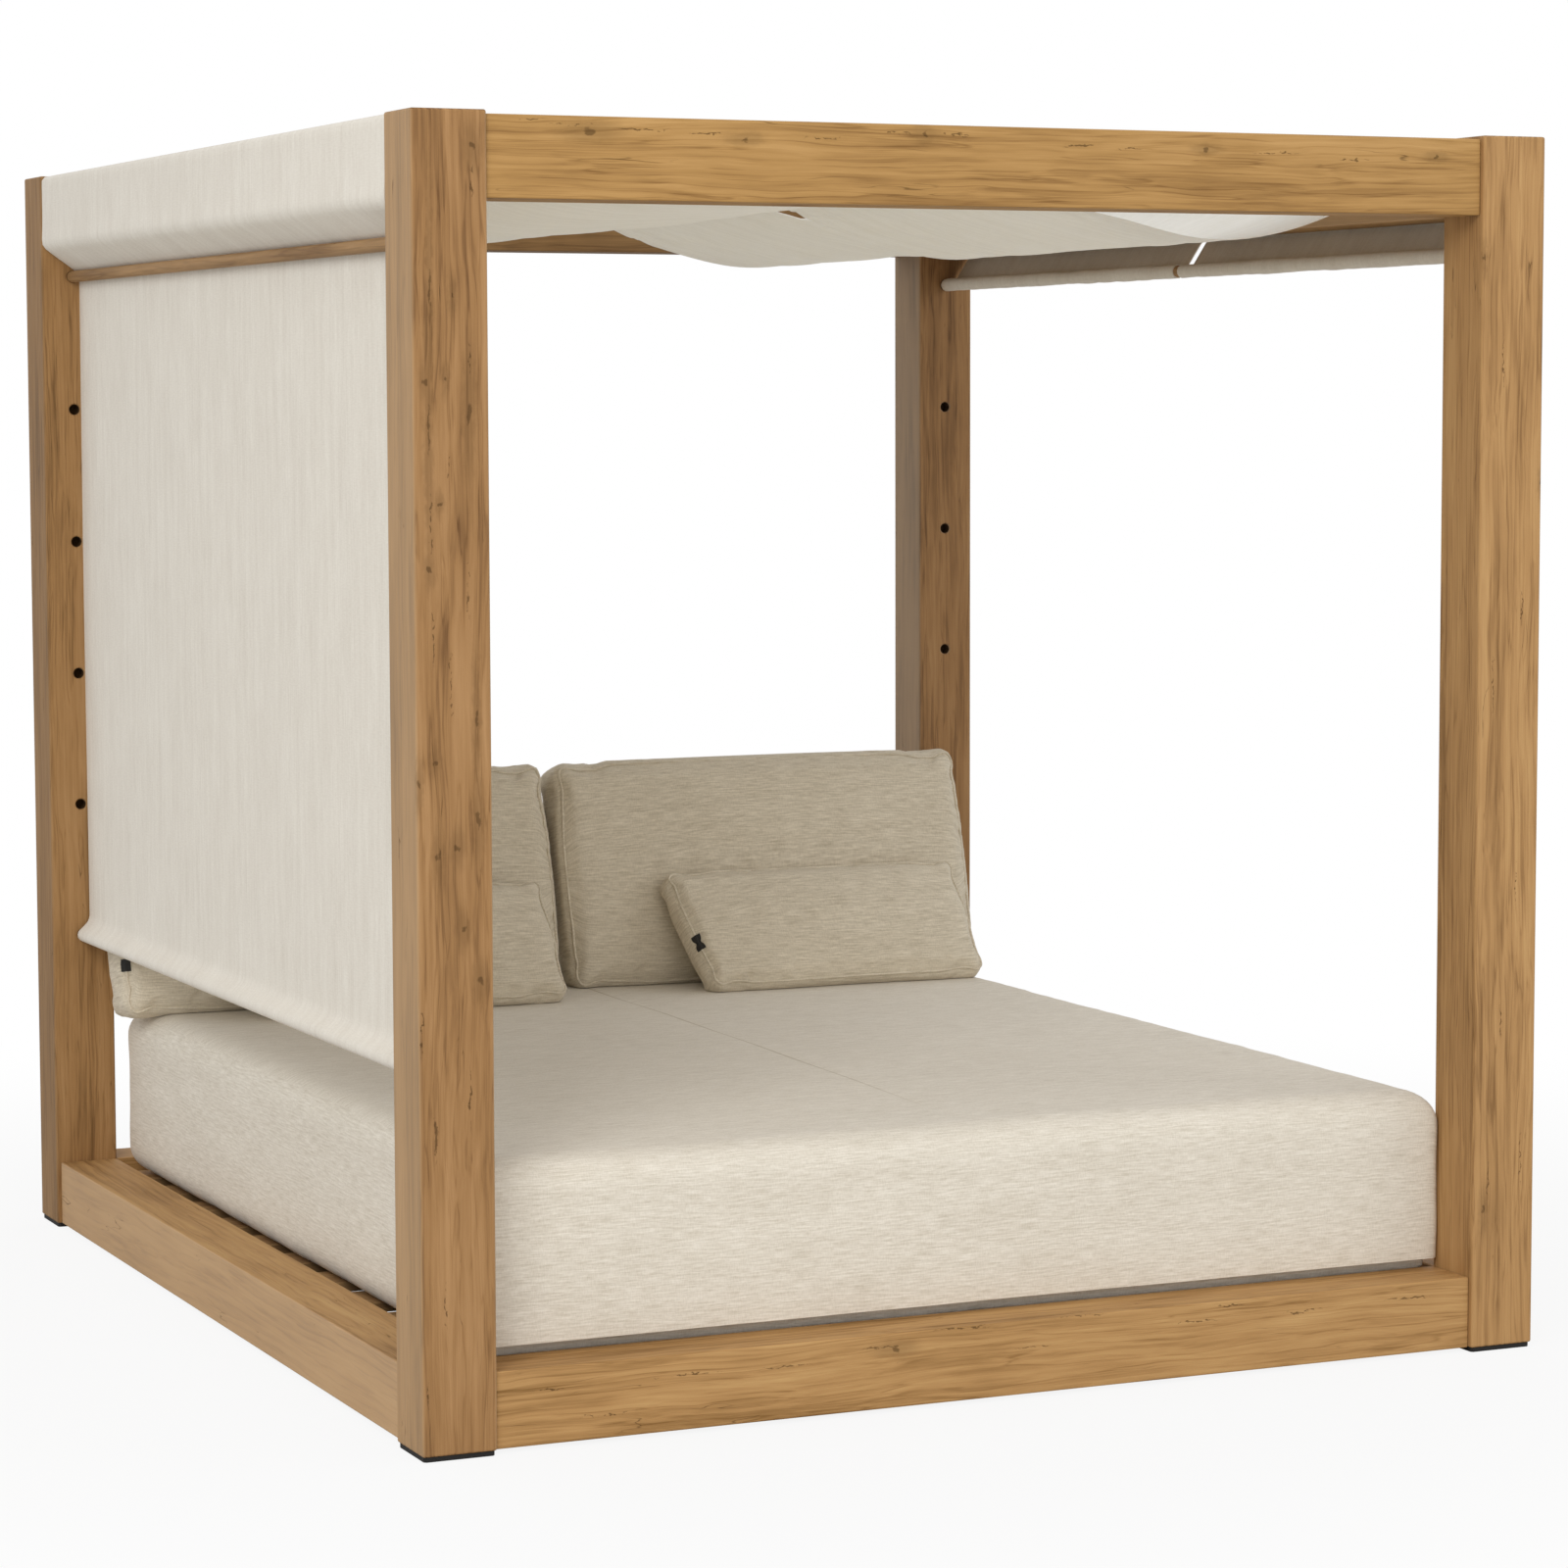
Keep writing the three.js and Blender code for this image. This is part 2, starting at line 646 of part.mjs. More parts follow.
// Height of the mattress's top at a place
function mattressHeight(x, y) {
  const u = (2 * x) / mattressSize[0];
  const v = (2 * y) / mattressSize[1];
  const inside = Math.abs(u) < 1 && Math.abs(v) < 1;
  return inside ? MATTRESS_EDGE_HEIGHT + MATTRESS_CROWN * (1 - u * u) * (1 - v * v) : SLAT_TOP_HEIGHT;
}

// How far down a geometry can come until it lies on the mattress
function dropOnto(geometry) {
  const room = corners(geometry).map((p) => p.z - mattressHeight(p.x, p.y));
  return Math.min(...room) - SEAT_GAP;
}

// How far back the skin of a geometry reaches at one height
function reachBack(geometry, height) {
  const points = corners(geometry);
  const index = geometry.index.array;
  let reach = -Infinity;
  for (let i = 0; i < index.length; i += 3)
    for (let k = 0; k < 3; k++) {
      const a = points[index[i + k]];
      const b = points[index[i + ((k + 1) % 3)]];
      if ((a.z - height) * (b.z - height) > 0 || a.z === b.z) continue;
      reach = Math.max(reach, THREE.MathUtils.lerp(a.y, b.y, (height - a.z) / (b.z - a.z)));
    }
  return reach;
}

// How far back the part of a geometry before a post reaches, counted from one mesh step inside it
function reachBeforePost(geometry) {
  const step = backWidth / CUSHION_STEPS[0];
  const beside = corners(geometry).filter((p) => Math.abs(p.x) > innerX - step);
  return Math.max(...beside.map((p) => p.y));
}

// Back cushions stand on the mattress and lean on the backrest rail or on the posts
const backShape = {
  size: [backWidth, BACK_THICKNESS, BACK_HEIGHT],
  round: BACK_ROUND,
  crown: BACK_CROWN,
  drawIn: BACK_DRAW_IN,
  across: 1,
  steps: CUSHION_STEPS,
};
const backrestFace = backrestY - BACKREST_THICKNESS / 2;
function makeBackCushion(x) {
  const geometry = padded(backShape).rotateX(-BACK_LEAN);
  geometry.translate(x, backrestFace - BACK_THICKNESS, backrestTop);
  const centre = new THREE.Vector3(x, backrestFace - BACK_THICKNESS, backrestTop);
  for (let pass = 0; pass < 3; pass++) {
    const toRail = backrestFace - reachBack(geometry, backrestTop);
    const back = Math.min(toRail, innerY - reachBeforePost(geometry)) - SEAT_GAP;
    geometry.translate(0, back, 0);
    const down = dropOnto(geometry);
    geometry.translate(0, 0, -down);
    centre.add(new THREE.Vector3(0, back, -down));
  }
  return { geometry, centre };
}

// Room in front of a back cushion's face, for a point in the daybed's frame
function roomBefore(centre, p) {
  const local = p.clone().sub(centre).applyAxisAngle(new THREE.Vector3(1, 0, 0), BACK_LEAN);
  const u = (2 * local.x) / backWidth;
  const v = (2 * local.z) / BACK_HEIGHT;
  if (Math.abs(u) > 1 || Math.abs(v) > 1) return Infinity;
  return -(BACK_THICKNESS / 2 + BACK_CROWN * (1 - u * u) * (1 - v * v)) - local.y;
}

// Lumbar cushions stand on the mattress and lean on the back cushions
const lumbarShape = {
  size: [lumbarWidth, LUMBAR_THICKNESS, LUMBAR_HEIGHT],
  round: LUMBAR_ROUND,
  crown: LUMBAR_CROWN,
  drawIn: LUMBAR_DRAW_IN,
  across: 1,
  steps: CUSHION_STEPS,
};
function makeLumbar(x, carrier) {
  const geometry = padded(lumbarShape).rotateX(-LUMBAR_LEAN);
  const start = carrier.y - BACK_THICKNESS - LUMBAR_THICKNESS;
  geometry.translate(x, start, MATTRESS_EDGE_HEIGHT + LUMBAR_HEIGHT);
  for (let pass = 0; pass < 4; pass++) {
    const rooms = corners(geometry).map((p) => roomBefore(carrier, p));
    geometry.translate(0, (Math.min(...rooms) - SEAT_GAP) / Math.cos(BACK_LEAN), 0);
    geometry.translate(0, 0, -dropOnto(geometry));
  }
  return geometry;
}
for (const [side, sideSign] of SIDES) {
  const back = makeBackCushion((sideSign * (backWidth + BACK_GAP)) / 2);
  place(`back_cushion_${side}`, back.geometry, CUSHION_CLOTH);
  const lumbarX = innerX * (sideSign < 0 ? -LUMBAR_LEFT_SHARE : LUMBAR_RIGHT_SHARE);
  place(`lumbar_cushion_${side}`, makeLumbar(lumbarX, back.centre), CUSHION_CLOTH);
}

export default daybed;
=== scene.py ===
# %% [markdown]
# # An outdoor daybed with a cloth canopy
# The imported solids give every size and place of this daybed. Here each visible piece gets its
# real form and finish: square timber with knots and checks, slubbed canvas that sags and
# gathers, a deep mattress, and cushions that are really inflated by a cloth simulation.
# Loading comes first, because each later cell asks the frame where its piece belongs.

# %% Load the frame
import json
import math

import bmesh
import bpy
from mathutils import Euler, Matrix, Vector, noise
from mathutils.bvhtree import BVHTree
from mathutils.kdtree import KDTree

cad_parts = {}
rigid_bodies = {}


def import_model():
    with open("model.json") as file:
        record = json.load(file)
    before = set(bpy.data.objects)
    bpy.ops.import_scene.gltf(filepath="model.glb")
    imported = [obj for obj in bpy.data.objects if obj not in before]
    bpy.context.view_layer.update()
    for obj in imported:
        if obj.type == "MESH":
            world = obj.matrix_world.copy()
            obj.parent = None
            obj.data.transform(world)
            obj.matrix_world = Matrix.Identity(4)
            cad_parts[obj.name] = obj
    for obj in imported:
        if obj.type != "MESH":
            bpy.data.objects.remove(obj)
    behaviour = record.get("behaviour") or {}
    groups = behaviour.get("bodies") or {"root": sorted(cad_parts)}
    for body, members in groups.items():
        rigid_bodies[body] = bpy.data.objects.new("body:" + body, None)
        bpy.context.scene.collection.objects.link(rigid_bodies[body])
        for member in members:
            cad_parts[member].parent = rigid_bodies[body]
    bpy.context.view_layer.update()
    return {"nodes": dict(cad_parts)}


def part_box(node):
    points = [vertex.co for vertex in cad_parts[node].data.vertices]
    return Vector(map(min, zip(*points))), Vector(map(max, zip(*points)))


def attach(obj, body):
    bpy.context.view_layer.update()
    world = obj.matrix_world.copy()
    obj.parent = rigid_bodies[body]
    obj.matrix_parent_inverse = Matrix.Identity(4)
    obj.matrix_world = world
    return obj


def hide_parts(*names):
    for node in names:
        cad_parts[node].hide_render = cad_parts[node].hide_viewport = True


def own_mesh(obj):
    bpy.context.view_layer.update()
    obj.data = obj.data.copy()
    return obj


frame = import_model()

scene = bpy.context.scene
nodes = frame["nodes"]

# %% [markdown]
# ## Camera
# The photographer stood in front of the left corner with a long lens, a little below the
# canopy. Place, turn and lens were worked out from the straight edges of posts and rails, so
# the render can be laid over the photograph. The slight roll is a turn about the line of sight.

# %% Photographer's camera
lens = bpy.data.cameras.new("photographer")
lens.lens = 101.5
lens.sensor_width = 36
lens.clip_end = 200
camera = bpy.data.objects.new("photographer", lens)
aim = Euler((math.radians(85.085), 0, math.radians(-24.148))).to_matrix()
aim = aim @ Matrix.Rotation(math.radians(-0.155), 3, "Z")
camera.matrix_world = Matrix.Translation((-3.444, -7.950, 1.727)) @ aim.to_4x4()
scene.collection.objects.link(camera)
scene.camera = camera
print("camera stands", round((camera.matrix_world.translation - Vector((0, 0, 1))).length, 2), "m away")

# %% [markdown]
# ## Small tools for materials
# Colours are given as sRGB hex values, while the renderer counts in linear light, so
# one function converts them. One other function adds a node with its settings and its inputs.
# With these two, each finish below reads as a short list of what the real surface does.

# %% Colour and node helpers
def colour(hex_code):
    """A colour as the renderer counts it, from its sRGB hex value."""
    parts = [int(hex_code[i : i + 2], 16) / 255 for i in (1, 3, 5)]
    linear = [p / 12.92 if p <= 0.04045 else ((p + 0.055) / 1.055) ** 2.4 for p in parts]
    return (*linear, 1.0)


def add(tree, kind, inputs=(), out=0, stops=(), **settings):
    """Adds a node with its settings and links, and gives one of its outputs, or all for None.

    Each input is a value or another node's output, in order or under its name or number.
    """
    node = tree.nodes.new("ShaderNode" + kind)
    for setting, value in settings.items():
        setattr(node, setting, value)
    for key, value in inputs.items() if isinstance(inputs, dict) else enumerate(inputs):
        if isinstance(value, bpy.types.NodeSocket):
            tree.links.new(value, node.inputs[key])
        else:
            node.inputs[key].default_value = value
    for i, (position, shade) in enumerate(stops):
        mark = node.color_ramp.elements[i] if i < 2 else node.color_ramp.elements.new(position)
        mark.position = position
        mark.color = colour(shade)
    return node.outputs if out is None else node.outputs[out]


def fresh(name):
    """An empty material with its shader, ready for a pattern."""
    material = bpy.data.materials.new(name)
    material.use_nodes = True
    tree = material.node_tree
    return material, tree, tree.nodes["Principled BSDF"]


PLUS, MINUS, TIMES = {"operation": "ADD"}, {"operation": "SUBTRACT"}, {"operation": "MULTIPLY"}
MOST, SIZE_OF = {"operation": "MAXIMUM"}, {"operation": "ABSOLUTE"}
SMOOTH = {"interpolation_type": "SMOOTHSTEP"}
print("white wall:", [round(c, 3) for c in colour("#E8E4DC")])

# %% [markdown]
# ## Studio
# The photograph has soft light from everywhere, a little more from the front left and above, and
# a pure white ground. A bright even world gives the softness, and one large lamp gives the faces
# their order. The floor is pale paint that still takes the daybed's shadow. What the camera sees
# of it is lifted towards white, all the way to white in the distance, so no horizon shows. The
# world shows white to the camera and to gloss, without adding light.

# %% World, lamps and floor
world = bpy.data.worlds.new("studio")
scene.world = world
world.use_nodes = True
sky = world.node_tree
sky.nodes.clear()
ray = add(sky, "LightPath", out=None)
seen = add(sky, "Math", (ray["Is Camera Ray"], ray["Is Glossy Ray"]), **MOST)
seen = add(sky, "Math", (seen, ray["Is Transmission Ray"]), **MOST)
glow = add(sky, "Background", {"Color": colour("#FBFCFF"), "Strength": 0.80})
white = add(sky, "Background", {"Color": (1, 1, 1, 1), "Strength": 1.0})
choice = add(sky, "MixShader", (seen, glow, white))
add(sky, "OutputWorld", (choice,), out=None)

# Each lamp's place, the point that it looks at, its width and its watts.
LAMPS = {
    "left_softbox": ((-5.5, -6.5, 5.2), (0, -0.4, 1.0), 3.5, 260),
    "right_softbox": ((6.5, -5.5, 4.2), (0, 0, 0.8), 3.0, 50),
    "front_softbox": ((1.0, -8.5, 1.5), (0.2, 0, 1.2), 3.5, 60),
}
for name, (place, target, width, watts) in LAMPS.items():
    light = bpy.data.lights.new(name, "AREA")
    light.size = width
    light.energy = watts
    lamp = bpy.data.objects.new(name, light)
    lamp.location = place
    lamp.rotation_euler = (Vector(target) - Vector(place)).to_track_quat("-Z", "Y").to_euler()
    lamp.visible_camera = False
    lamp.visible_glossy = False
    scene.collection.objects.link(lamp)

paint, tree, shader = fresh("matt_floor_paint")
# Matt emulsion: no gloss to speak of.
shader.inputs["Base Color"].default_value = colour("#CFCECB")
shader.inputs["Roughness"].default_value = 0.9
WHITER_FROM, WHITE_FROM, WHITENESS = 1.6, 3.8, 0.89
ground = add(tree, "TexCoord", out="Object")
distance = add(tree, "VectorMath", (ground,), "Value", operation="LENGTH")
share = add(tree, "MapRange", (distance, WHITER_FROM, WHITE_FROM, WHITENESS, 1.0), **SMOOTH)
share = add(tree, "Math", (add(tree, "LightPath", out="Is Camera Ray"), share), **TIMES)
lifted = add(tree, "Emission", {"Color": (1, 1, 1, 1), "Strength": 1.0})
both = add(tree, "MixShader", (share, shader.outputs[0], lifted))
tree.links.new(both, tree.nodes["Material Output"].inputs[0])

shape = bmesh.new()
bmesh.ops.create_grid(shape, x_segments=1, y_segments=1, size=30)
floor_mesh = bpy.data.meshes.new("floor")
shape.to_mesh(floor_mesh)
shape.free()
floor = bpy.data.objects.new("floor", floor_mesh)
floor_mesh.materials.append(paint)
scene.collection.objects.link(floor)
scene.view_settings.view_transform = "Standard"

# %% [markdown]
# ## Timber
# Posts, beams and rails are solid recycled teak, planed, eased along the edges and oiled. The
# oil leaves a satin surface, with long brown streaks and fine dark lines along the grain, drying
# checks and small knots. Each board is its own material: the same recipe, with its own grain
# direction, tones and marks. Growth rings only show on the cut ends. Real rings lie 2 to 4 mm
# apart, which the picture can't show, so they are drawn 7 mm apart. The side faces of a board
# get painted light: a pale grey sheen painted on some, painted shade on others.

# %% Grain patterns
def speckle(tree, source, width, length, shift, detail=3.0, rough=0.5, out="Fac"):
    """Noise whose grains are so wide and so long, in metres."""
    settled = {"Location": (shift, shift * 0.7, shift * 1.3), "Scale": (1 / width, 1 / width, 1 / length)}
    at = add(tree, "Mapping", {"Vector": source, **settled})
    return add(tree, "TexNoise", {"Vector": at, "Scale": 1.0, "Detail": detail, "Roughness": rough}, out)


def wobbled(tree, source, width, length, shift, sway):
    """Coordinates that wander, so that lines bend and marks get a torn outline."""
    wander = speckle(tree, source, width, length, shift, out="Color")
    wander = add(tree, "VectorMath", (wander, (0.5, 0.5, 0.5)), **MINUS)
    wander = add(tree, "VectorMath", (wander, sway), **TIMES)
    return add(tree, "VectorMath", (source, wander), **PLUS)


def thin_lines(tree, pattern, edge, heart):
    """Thin lines where a noise passes through its middle level."""
    off = add(tree, "Math", (add(tree, "Math", (pattern, 0.5), **MINUS),), **SIZE_OF)
    return add(tree, "MapRange", (off, edge, heart), **SMOOTH)


RING_GAP = 0.0072


def growth_rings(tree, board, pith, cut_end):
    """Rings round the pith, faint along a board and clear on its cut ends."""
    away = add(tree, "VectorMath", (board, (pith[0], pith[1], 0)), **MINUS)
    away = add(tree, "VectorMath", (away, (1, 1, 0)), **TIMES)
    away = add(tree, "VectorMath", (away,), "Value", operation="LENGTH")
    turns = add(tree, "Math", (away, 2 * math.pi / RING_GAP), **TIMES)
    rings = add(tree, "MapRange", (add(tree, "Math", (turns,), operation="SINE"), -0.6, 1.0), **SMOOTH)
    clear = add(tree, "MapRange", (cut_end, 0.5, 0.9, 0.03, 0.22), **SMOOTH)
    return add(tree, "Math", (rings, clear), **TIMES)


print("growth rings are drawn", RING_GAP * 1000, "mm apart")

# %% [markdown]
# The dark things in the wood are drawn on top: knots and checks at given places, and the walls
# of the peg holes, dark with end grain and painted shade. Wide marks are knots, which also tint
# the wood round them, and narrow ones are checks. Both are long drops along the grain, torn by
# wandering coordinates.

# %% Marks and hole walls
KNOT_WIDTH = 0.0028
HOLE_WALL = (0.0124, 0.0118)


def marked(tree, dark, torn, order, marks):
    """The dark pattern with knots and checks added at their places."""
    for spot, length, width in marks:
        centre = [spot["XYZ".index(axis)] for axis in order]
        offset = add(tree, "VectorMath", (torn, centre), **MINUS)
        offset = add(tree, "VectorMath", (offset, (1 / width, 1 / width, 1 / length)), **TIMES)
        far = add(tree, "VectorMath", (offset,), "Value", operation="LENGTH")
        if width > KNOT_WIDTH:
            halo = add(tree, "VectorMath", (offset, (1, 1, 0.5)), **TIMES)
            halo = add(tree, "VectorMath", (halo,), "Value", operation="LENGTH")
            halo = add(tree, "MapRange", (halo, 3.0, 0.8, 0.0, 0.36), **SMOOTH)
            dark = add(tree, "Math", (dark, halo), **MOST)
        dark = add(tree, "Math", (dark, add(tree, "MapRange", (far, 1.0, 0.45), **SMOOTH)), **MOST)
    return dark


def hole_grain_and_painted_shade(tree, place, centre, face, top, pitch):
    """The walls of the peg holes, nearly black: oiled end grain and painted shade further in."""
    steps = add(tree, "Math", (add(tree, "Math", (place["Z"], top), **MINUS), pitch), operation="DIVIDE")
    off = add(tree, "Math", (steps, add(tree, "Math", (steps,), operation="ROUND")), **MINUS)
    off = add(tree, "Math", (off, pitch), **TIMES)
    beside = add(tree, "Math", (place["X"], centre), **MINUS)
    radius = add(tree, "CombineXYZ", {0: beside, 2: off})
    radius = add(tree, "VectorMath", (radius,), "Value", operation="LENGTH")
    deep = add(tree, "Math", (add(tree, "Math", (place["Y"], face), **MINUS),), **SIZE_OF)
    inside = add(tree, "MapRange", (radius, *HOLE_WALL), **SMOOTH)
    # Painted shade: the dark starts 2 to 5 mm below the mouth and fills the hole.
    for mouth, depth in ((0.002, 0.005), (0.040, 0.036)):
        part = add(tree, "MapRange", (deep, mouth, depth), **SMOOTH)
        inside = add(tree, "Math", (inside, part), **TIMES)
    return add(tree, "Math", (inside, 1.4), **TIMES)


print("marks wider than", KNOT_WIDTH * 1000, "mm are knots")

# %% [markdown]
# The wood's tone is a sum of five noises of different size along the grain, less the dark lines,
# rings and what lies near a knot. A ramp turns it into colour. Last come the painted light and
# shade of the side faces, the dark marks and a satin surface that is duller in the checks.

# %% Oiled teak
TEAK_TONES = ("#C2985F", "#AF864E", "#7F5A2D")
# Painted sheen: faces that look along X are mixed 15% towards this pale grey, standing in for the light that
# the satin oil catches there.
PAINTED_SIDE_SHEEN = ("#CDB18C", 0.15)
GRAIN_ORDER = {"X": "YZX", "Y": "XZY", "Z": "XYZ"}


def wild_knots(tree, bent, seed):
    """Knots anywhere in the wood, and how near they are."""
    cells = add(tree, "Mapping", {"Vector": bent, "Location": (seed, seed, seed), "Scale": (6.2, 6.2, 3.2)})
    cell = add(tree, "TexVoronoi", {"Vector": cells, "Scale": 1.0}, out=None)
    lucky = add(tree, "MapRange", (add(tree, "SeparateColor", (cell["Color"],)), 0.76, 0.79), **SMOOTH)
    near = add(tree, "MapRange", (cell["Distance"], 0.30, 0.02), **SMOOTH)
    knot = add(tree, "MapRange", (cell["Distance"], 0.050, 0.025), **SMOOTH)
    return [add(tree, "Math", (pattern, lucky), **TIMES) for pattern in (near, knot)]


def oiled_teak(name, along, pith, seed, marks=(), tones=TEAK_TONES, painted_side_light=PAINTED_SIDE_SHEEN, holes=None):
    """Teak whose grain runs along one axis, with its pith at two places across it."""
    material, tree, shader = fresh(name)
    place = add(tree, "SeparateXYZ", (add(tree, "TexCoord", out="Object"),), None)
    facing = add(tree, "SeparateXYZ", (add(tree, "NewGeometry", out="Normal"),), None)
    order = GRAIN_ORDER[along]
    board = add(tree, "CombineXYZ", [place[axis] for axis in order])
    bent = wobbled(tree, board, 0.11, 0.55, 3.0 + seed, (0.045, 0.045, 0.0))
    torn = wobbled(tree, board, 0.009, 0.018, 4.0 + seed, (0.017, 0.017, 0.022))
    near_knot, knot = wild_knots(tree, bent, seed)
    rings = growth_rings(tree, bent, pith, add(tree, "Math", (facing[along],), **SIZE_OF))

    fibres = speckle(tree, bent, 0.0028, 0.20, 5.0 + seed, 4.0, 0.6)
    streaks = speckle(tree, bent, 0.012, 0.70, 9.0 + seed, 3.0, 0.55)
    blotches = speckle(tree, bent, 0.040, 0.32, 11.0 + seed, 3.0, 0.6)
    drift = speckle(tree, bent, 0.10, 0.7, 13.0 + seed, 2.0)
    lines = thin_lines(tree, speckle(tree, bent, 0.017, 0.8, 15.0 + seed, 3.0, 0.45), 0.035, 0.0)
    checks = thin_lines(tree, speckle(tree, bent, 0.022, 0.30, 17.0 + seed, 2.5, 0.45), 0.0085, 0.001)
    where = speckle(tree, bent, 0.035, 0.16, 23.0 + seed, 2.0)
    where = add(tree, "MapRange", (where, 0.60, 0.70), **SMOOTH)
    dark = add(tree, "Math", (add(tree, "Math", (checks, 0.8), **TIMES), where), **TIMES)
    dark = marked(tree, add(tree, "Math", (dark, knot), **MOST), torn, order, marks)
    if holes:
        dark = add(tree, "Math", (dark, hole_grain_and_painted_shade(tree, place, *holes)), **MOST)

    tone = add(tree, "Math", (streaks, 0.34), **TIMES)
    weighed = [(fibres, 0.26), (blotches, 0.38), (drift, 0.30), (lines, -0.09), (rings, -1.0)]
    for pattern, weight in weighed + [(near_knot, -0.11)]:
        tone = add(tree, "Math", (tone, add(tree, "Math", (pattern, weight), **TIMES)), **PLUS)
    light, middle, deep_brown = tones
    wood = add(tree, "ValToRGB", (tone,), stops=[(0.43, deep_brown), (0.79, light), (0.625, middle)])
    # Painted light and shade: faces that look along X are mixed towards the tint by the share; pale greys
    # paint a sheen there, dark browns paint shade.
    tint, share = painted_side_light
    side = add(tree, "Math", (add(tree, "Math", (facing["X"],), **SIZE_OF), share), **TIMES)
    wood = add(tree, "Mix", {0: side, 6: wood, 7: colour(tint)}, 2, data_type="RGBA")
    depth = add(tree, "Math", (dark, 0.68), use_clamp=True, **TIMES)
    wood = add(tree, "Mix", {0: depth, 6: wood, 7: colour("#45301A")}, 2, data_type="RGBA")
    tree.links.new(wood, shader.inputs["Base Color"])
    # Satin oil: a little gloss on the raised fibres, duller in the checks.
    shine = add(tree, "MapRange", (fibres, 0.3, 0.7, 0.62, 0.74), **SMOOTH)
    shine = add(tree, "Math", (shine, add(tree, "Math", (dark, 0.3), **TIMES)), **PLUS)
    tree.links.new(shine, shader.inputs["Roughness"])
    shader.inputs["IOR"].default_value = 1.47
    shader.inputs["Specular IOR Level"].default_value = 0.35
    height = add(tree, "Math", (add(tree, "Math", (fibres, 0.35), **TIMES), dark), **MINUS)
    bump = add(tree, "Bump", {"Strength": 0.5, "Distance": 0.0012, "Height": height})
    tree.links.new(bump, shader.inputs["Normal"])
    return material


print("teak tones:", TEAK_TONES)

# %% [markdown]
# ## Making pieces
# A piece starts as a bmesh. This cell turns one into an object at the origin, hangs it on the
# body that it rides on and hides the solid that it stands for.

# %% Piece maker
def piece_from(shape, name, material, body="frame", stands_for=(), smooth=False):
    """An object for a finished bmesh, riding on a body of the daybed."""
    mesh = bpy.data.meshes.new(name)
    for face in shape.faces:
        face.smooth = smooth
    shape.to_mesh(mesh)
    shape.free()
    mesh.materials.append(material)
    piece = bpy.data.objects.new(name, mesh)
    scene.collection.objects.link(piece)
    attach(piece, body)
    if stands_for:
        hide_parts(*stands_for)
    return piece


def applied(piece):
    """Fixes a piece's modifiers into its mesh."""
    view = bpy.context.evaluated_depsgraph_get()
    mesh = bpy.data.meshes.new_from_object(piece.evaluated_get(view), depsgraph=view)
    piece.modifiers.clear()
    piece.data = mesh
    return piece


# %% [markdown]
# ## Boards
# A sawn board is a box whose long edges were eased with a small round-over. A cube is scaled to
# the board, moved to its place and bevelled. The bevel also runs round the ends, and where a
# beam meets a post that leaves the fine dark joint line that shows in the photograph.

# %% Board shape
def board_shape(low, high, ease):
    """A bmesh of a board between two corners, with rounded edges."""
    shape = bmesh.new()
    bmesh.ops.create_cube(shape, size=1)
    bmesh.ops.scale(shape, vec=Vector(high) - Vector(low), verts=shape.verts)
    bmesh.ops.translate(shape, vec=(Vector(low) + Vector(high)) / 2, verts=shape.verts)
    bmesh.ops.bevel(
        shape, geom=shape.edges[:], offset=ease, segments=3, profile=0.5, affect="EDGES", material=-1
    )
    return shape


SIDES = {"left": -1, "right": 1}
ENDS = {"front": -1, "back": 1}
post_low, post_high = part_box("post_front_left")
INNER_X = -post_high.x
INNER_Y = -post_high.y
JOINT = 0.0004
print("post", round((post_high.x - post_low.x) * 1000), "mm square")
print("clear between posts:", round(2 * INNER_X, 3), "by", round(2 * INNER_Y, 3), "m")

# %% [markdown]
# ## Peg holes
# Six blind holes are drilled down each post, 22 mm wide and 275 mm apart, on the side that looks
# along the daybed. They were countersunk a little, which shows as a pale ring. A drill bit is a
# turned shape, so half its outline is spun round, and one Boolean takes all six out of a post.

# %% Drill and posts
TOP_HOLE, PITCH, HOLE_COUNT = 1.994, 0.275, 6
HOLE_RADIUS, HOLE_DEPTH = 0.011, 0.032
MOUTH_RADIUS, MOUTH_DEPTH, MOUTH_RISE, OVERRUN = 0.0134, 0.0022, 0.0002, 0.004
POST_EASE = 0.004


def spun(shape, places, centre, axis, steps):
    """Turns half an outline round an axis, as on a lathe."""
    points = [shape.verts.new(place) for place in places]
    edges = [shape.edges.new(pair) for pair in zip(points, points[1:])]
    whole = {"cent": centre, "axis": axis, "angle": 2 * math.pi, "steps": steps, "use_merge": True}
    bmesh.ops.spin(shape, geom=points + edges, **whole)
    bmesh.ops.remove_doubles(shape, verts=shape.verts, dist=1e-6)


def drill_bit(place, direction):
    """A mesh of one drill bit: the hole with its countersunk mouth."""
    shape = bmesh.new()
    bore = [(0, -HOLE_DEPTH), (HOLE_RADIUS, -HOLE_DEPTH), (HOLE_RADIUS, -MOUTH_DEPTH)]
    bore += [(MOUTH_RADIUS, MOUTH_RISE), (MOUTH_RADIUS, OVERRUN), (0, OVERRUN)]
    spun(shape, [(r, 0, z) for r, z in bore], (0, 0, 0), (0, 0, 1), 32)
    turn = Vector((0, 0, 1)).rotation_difference(Vector((0, direction, 0))).to_matrix()
    bmesh.ops.rotate(shape, cent=(0, 0, 0), matrix=turn, verts=shape.verts)
    bmesh.ops.translate(shape, vec=place, verts=shape.verts)
    bmesh.ops.recalc_face_normals(shape, faces=shape.faces)
    mesh = bpy.data.meshes.new("drill_bit")
    shape.to_mesh(mesh)
    shape.free()
    return mesh


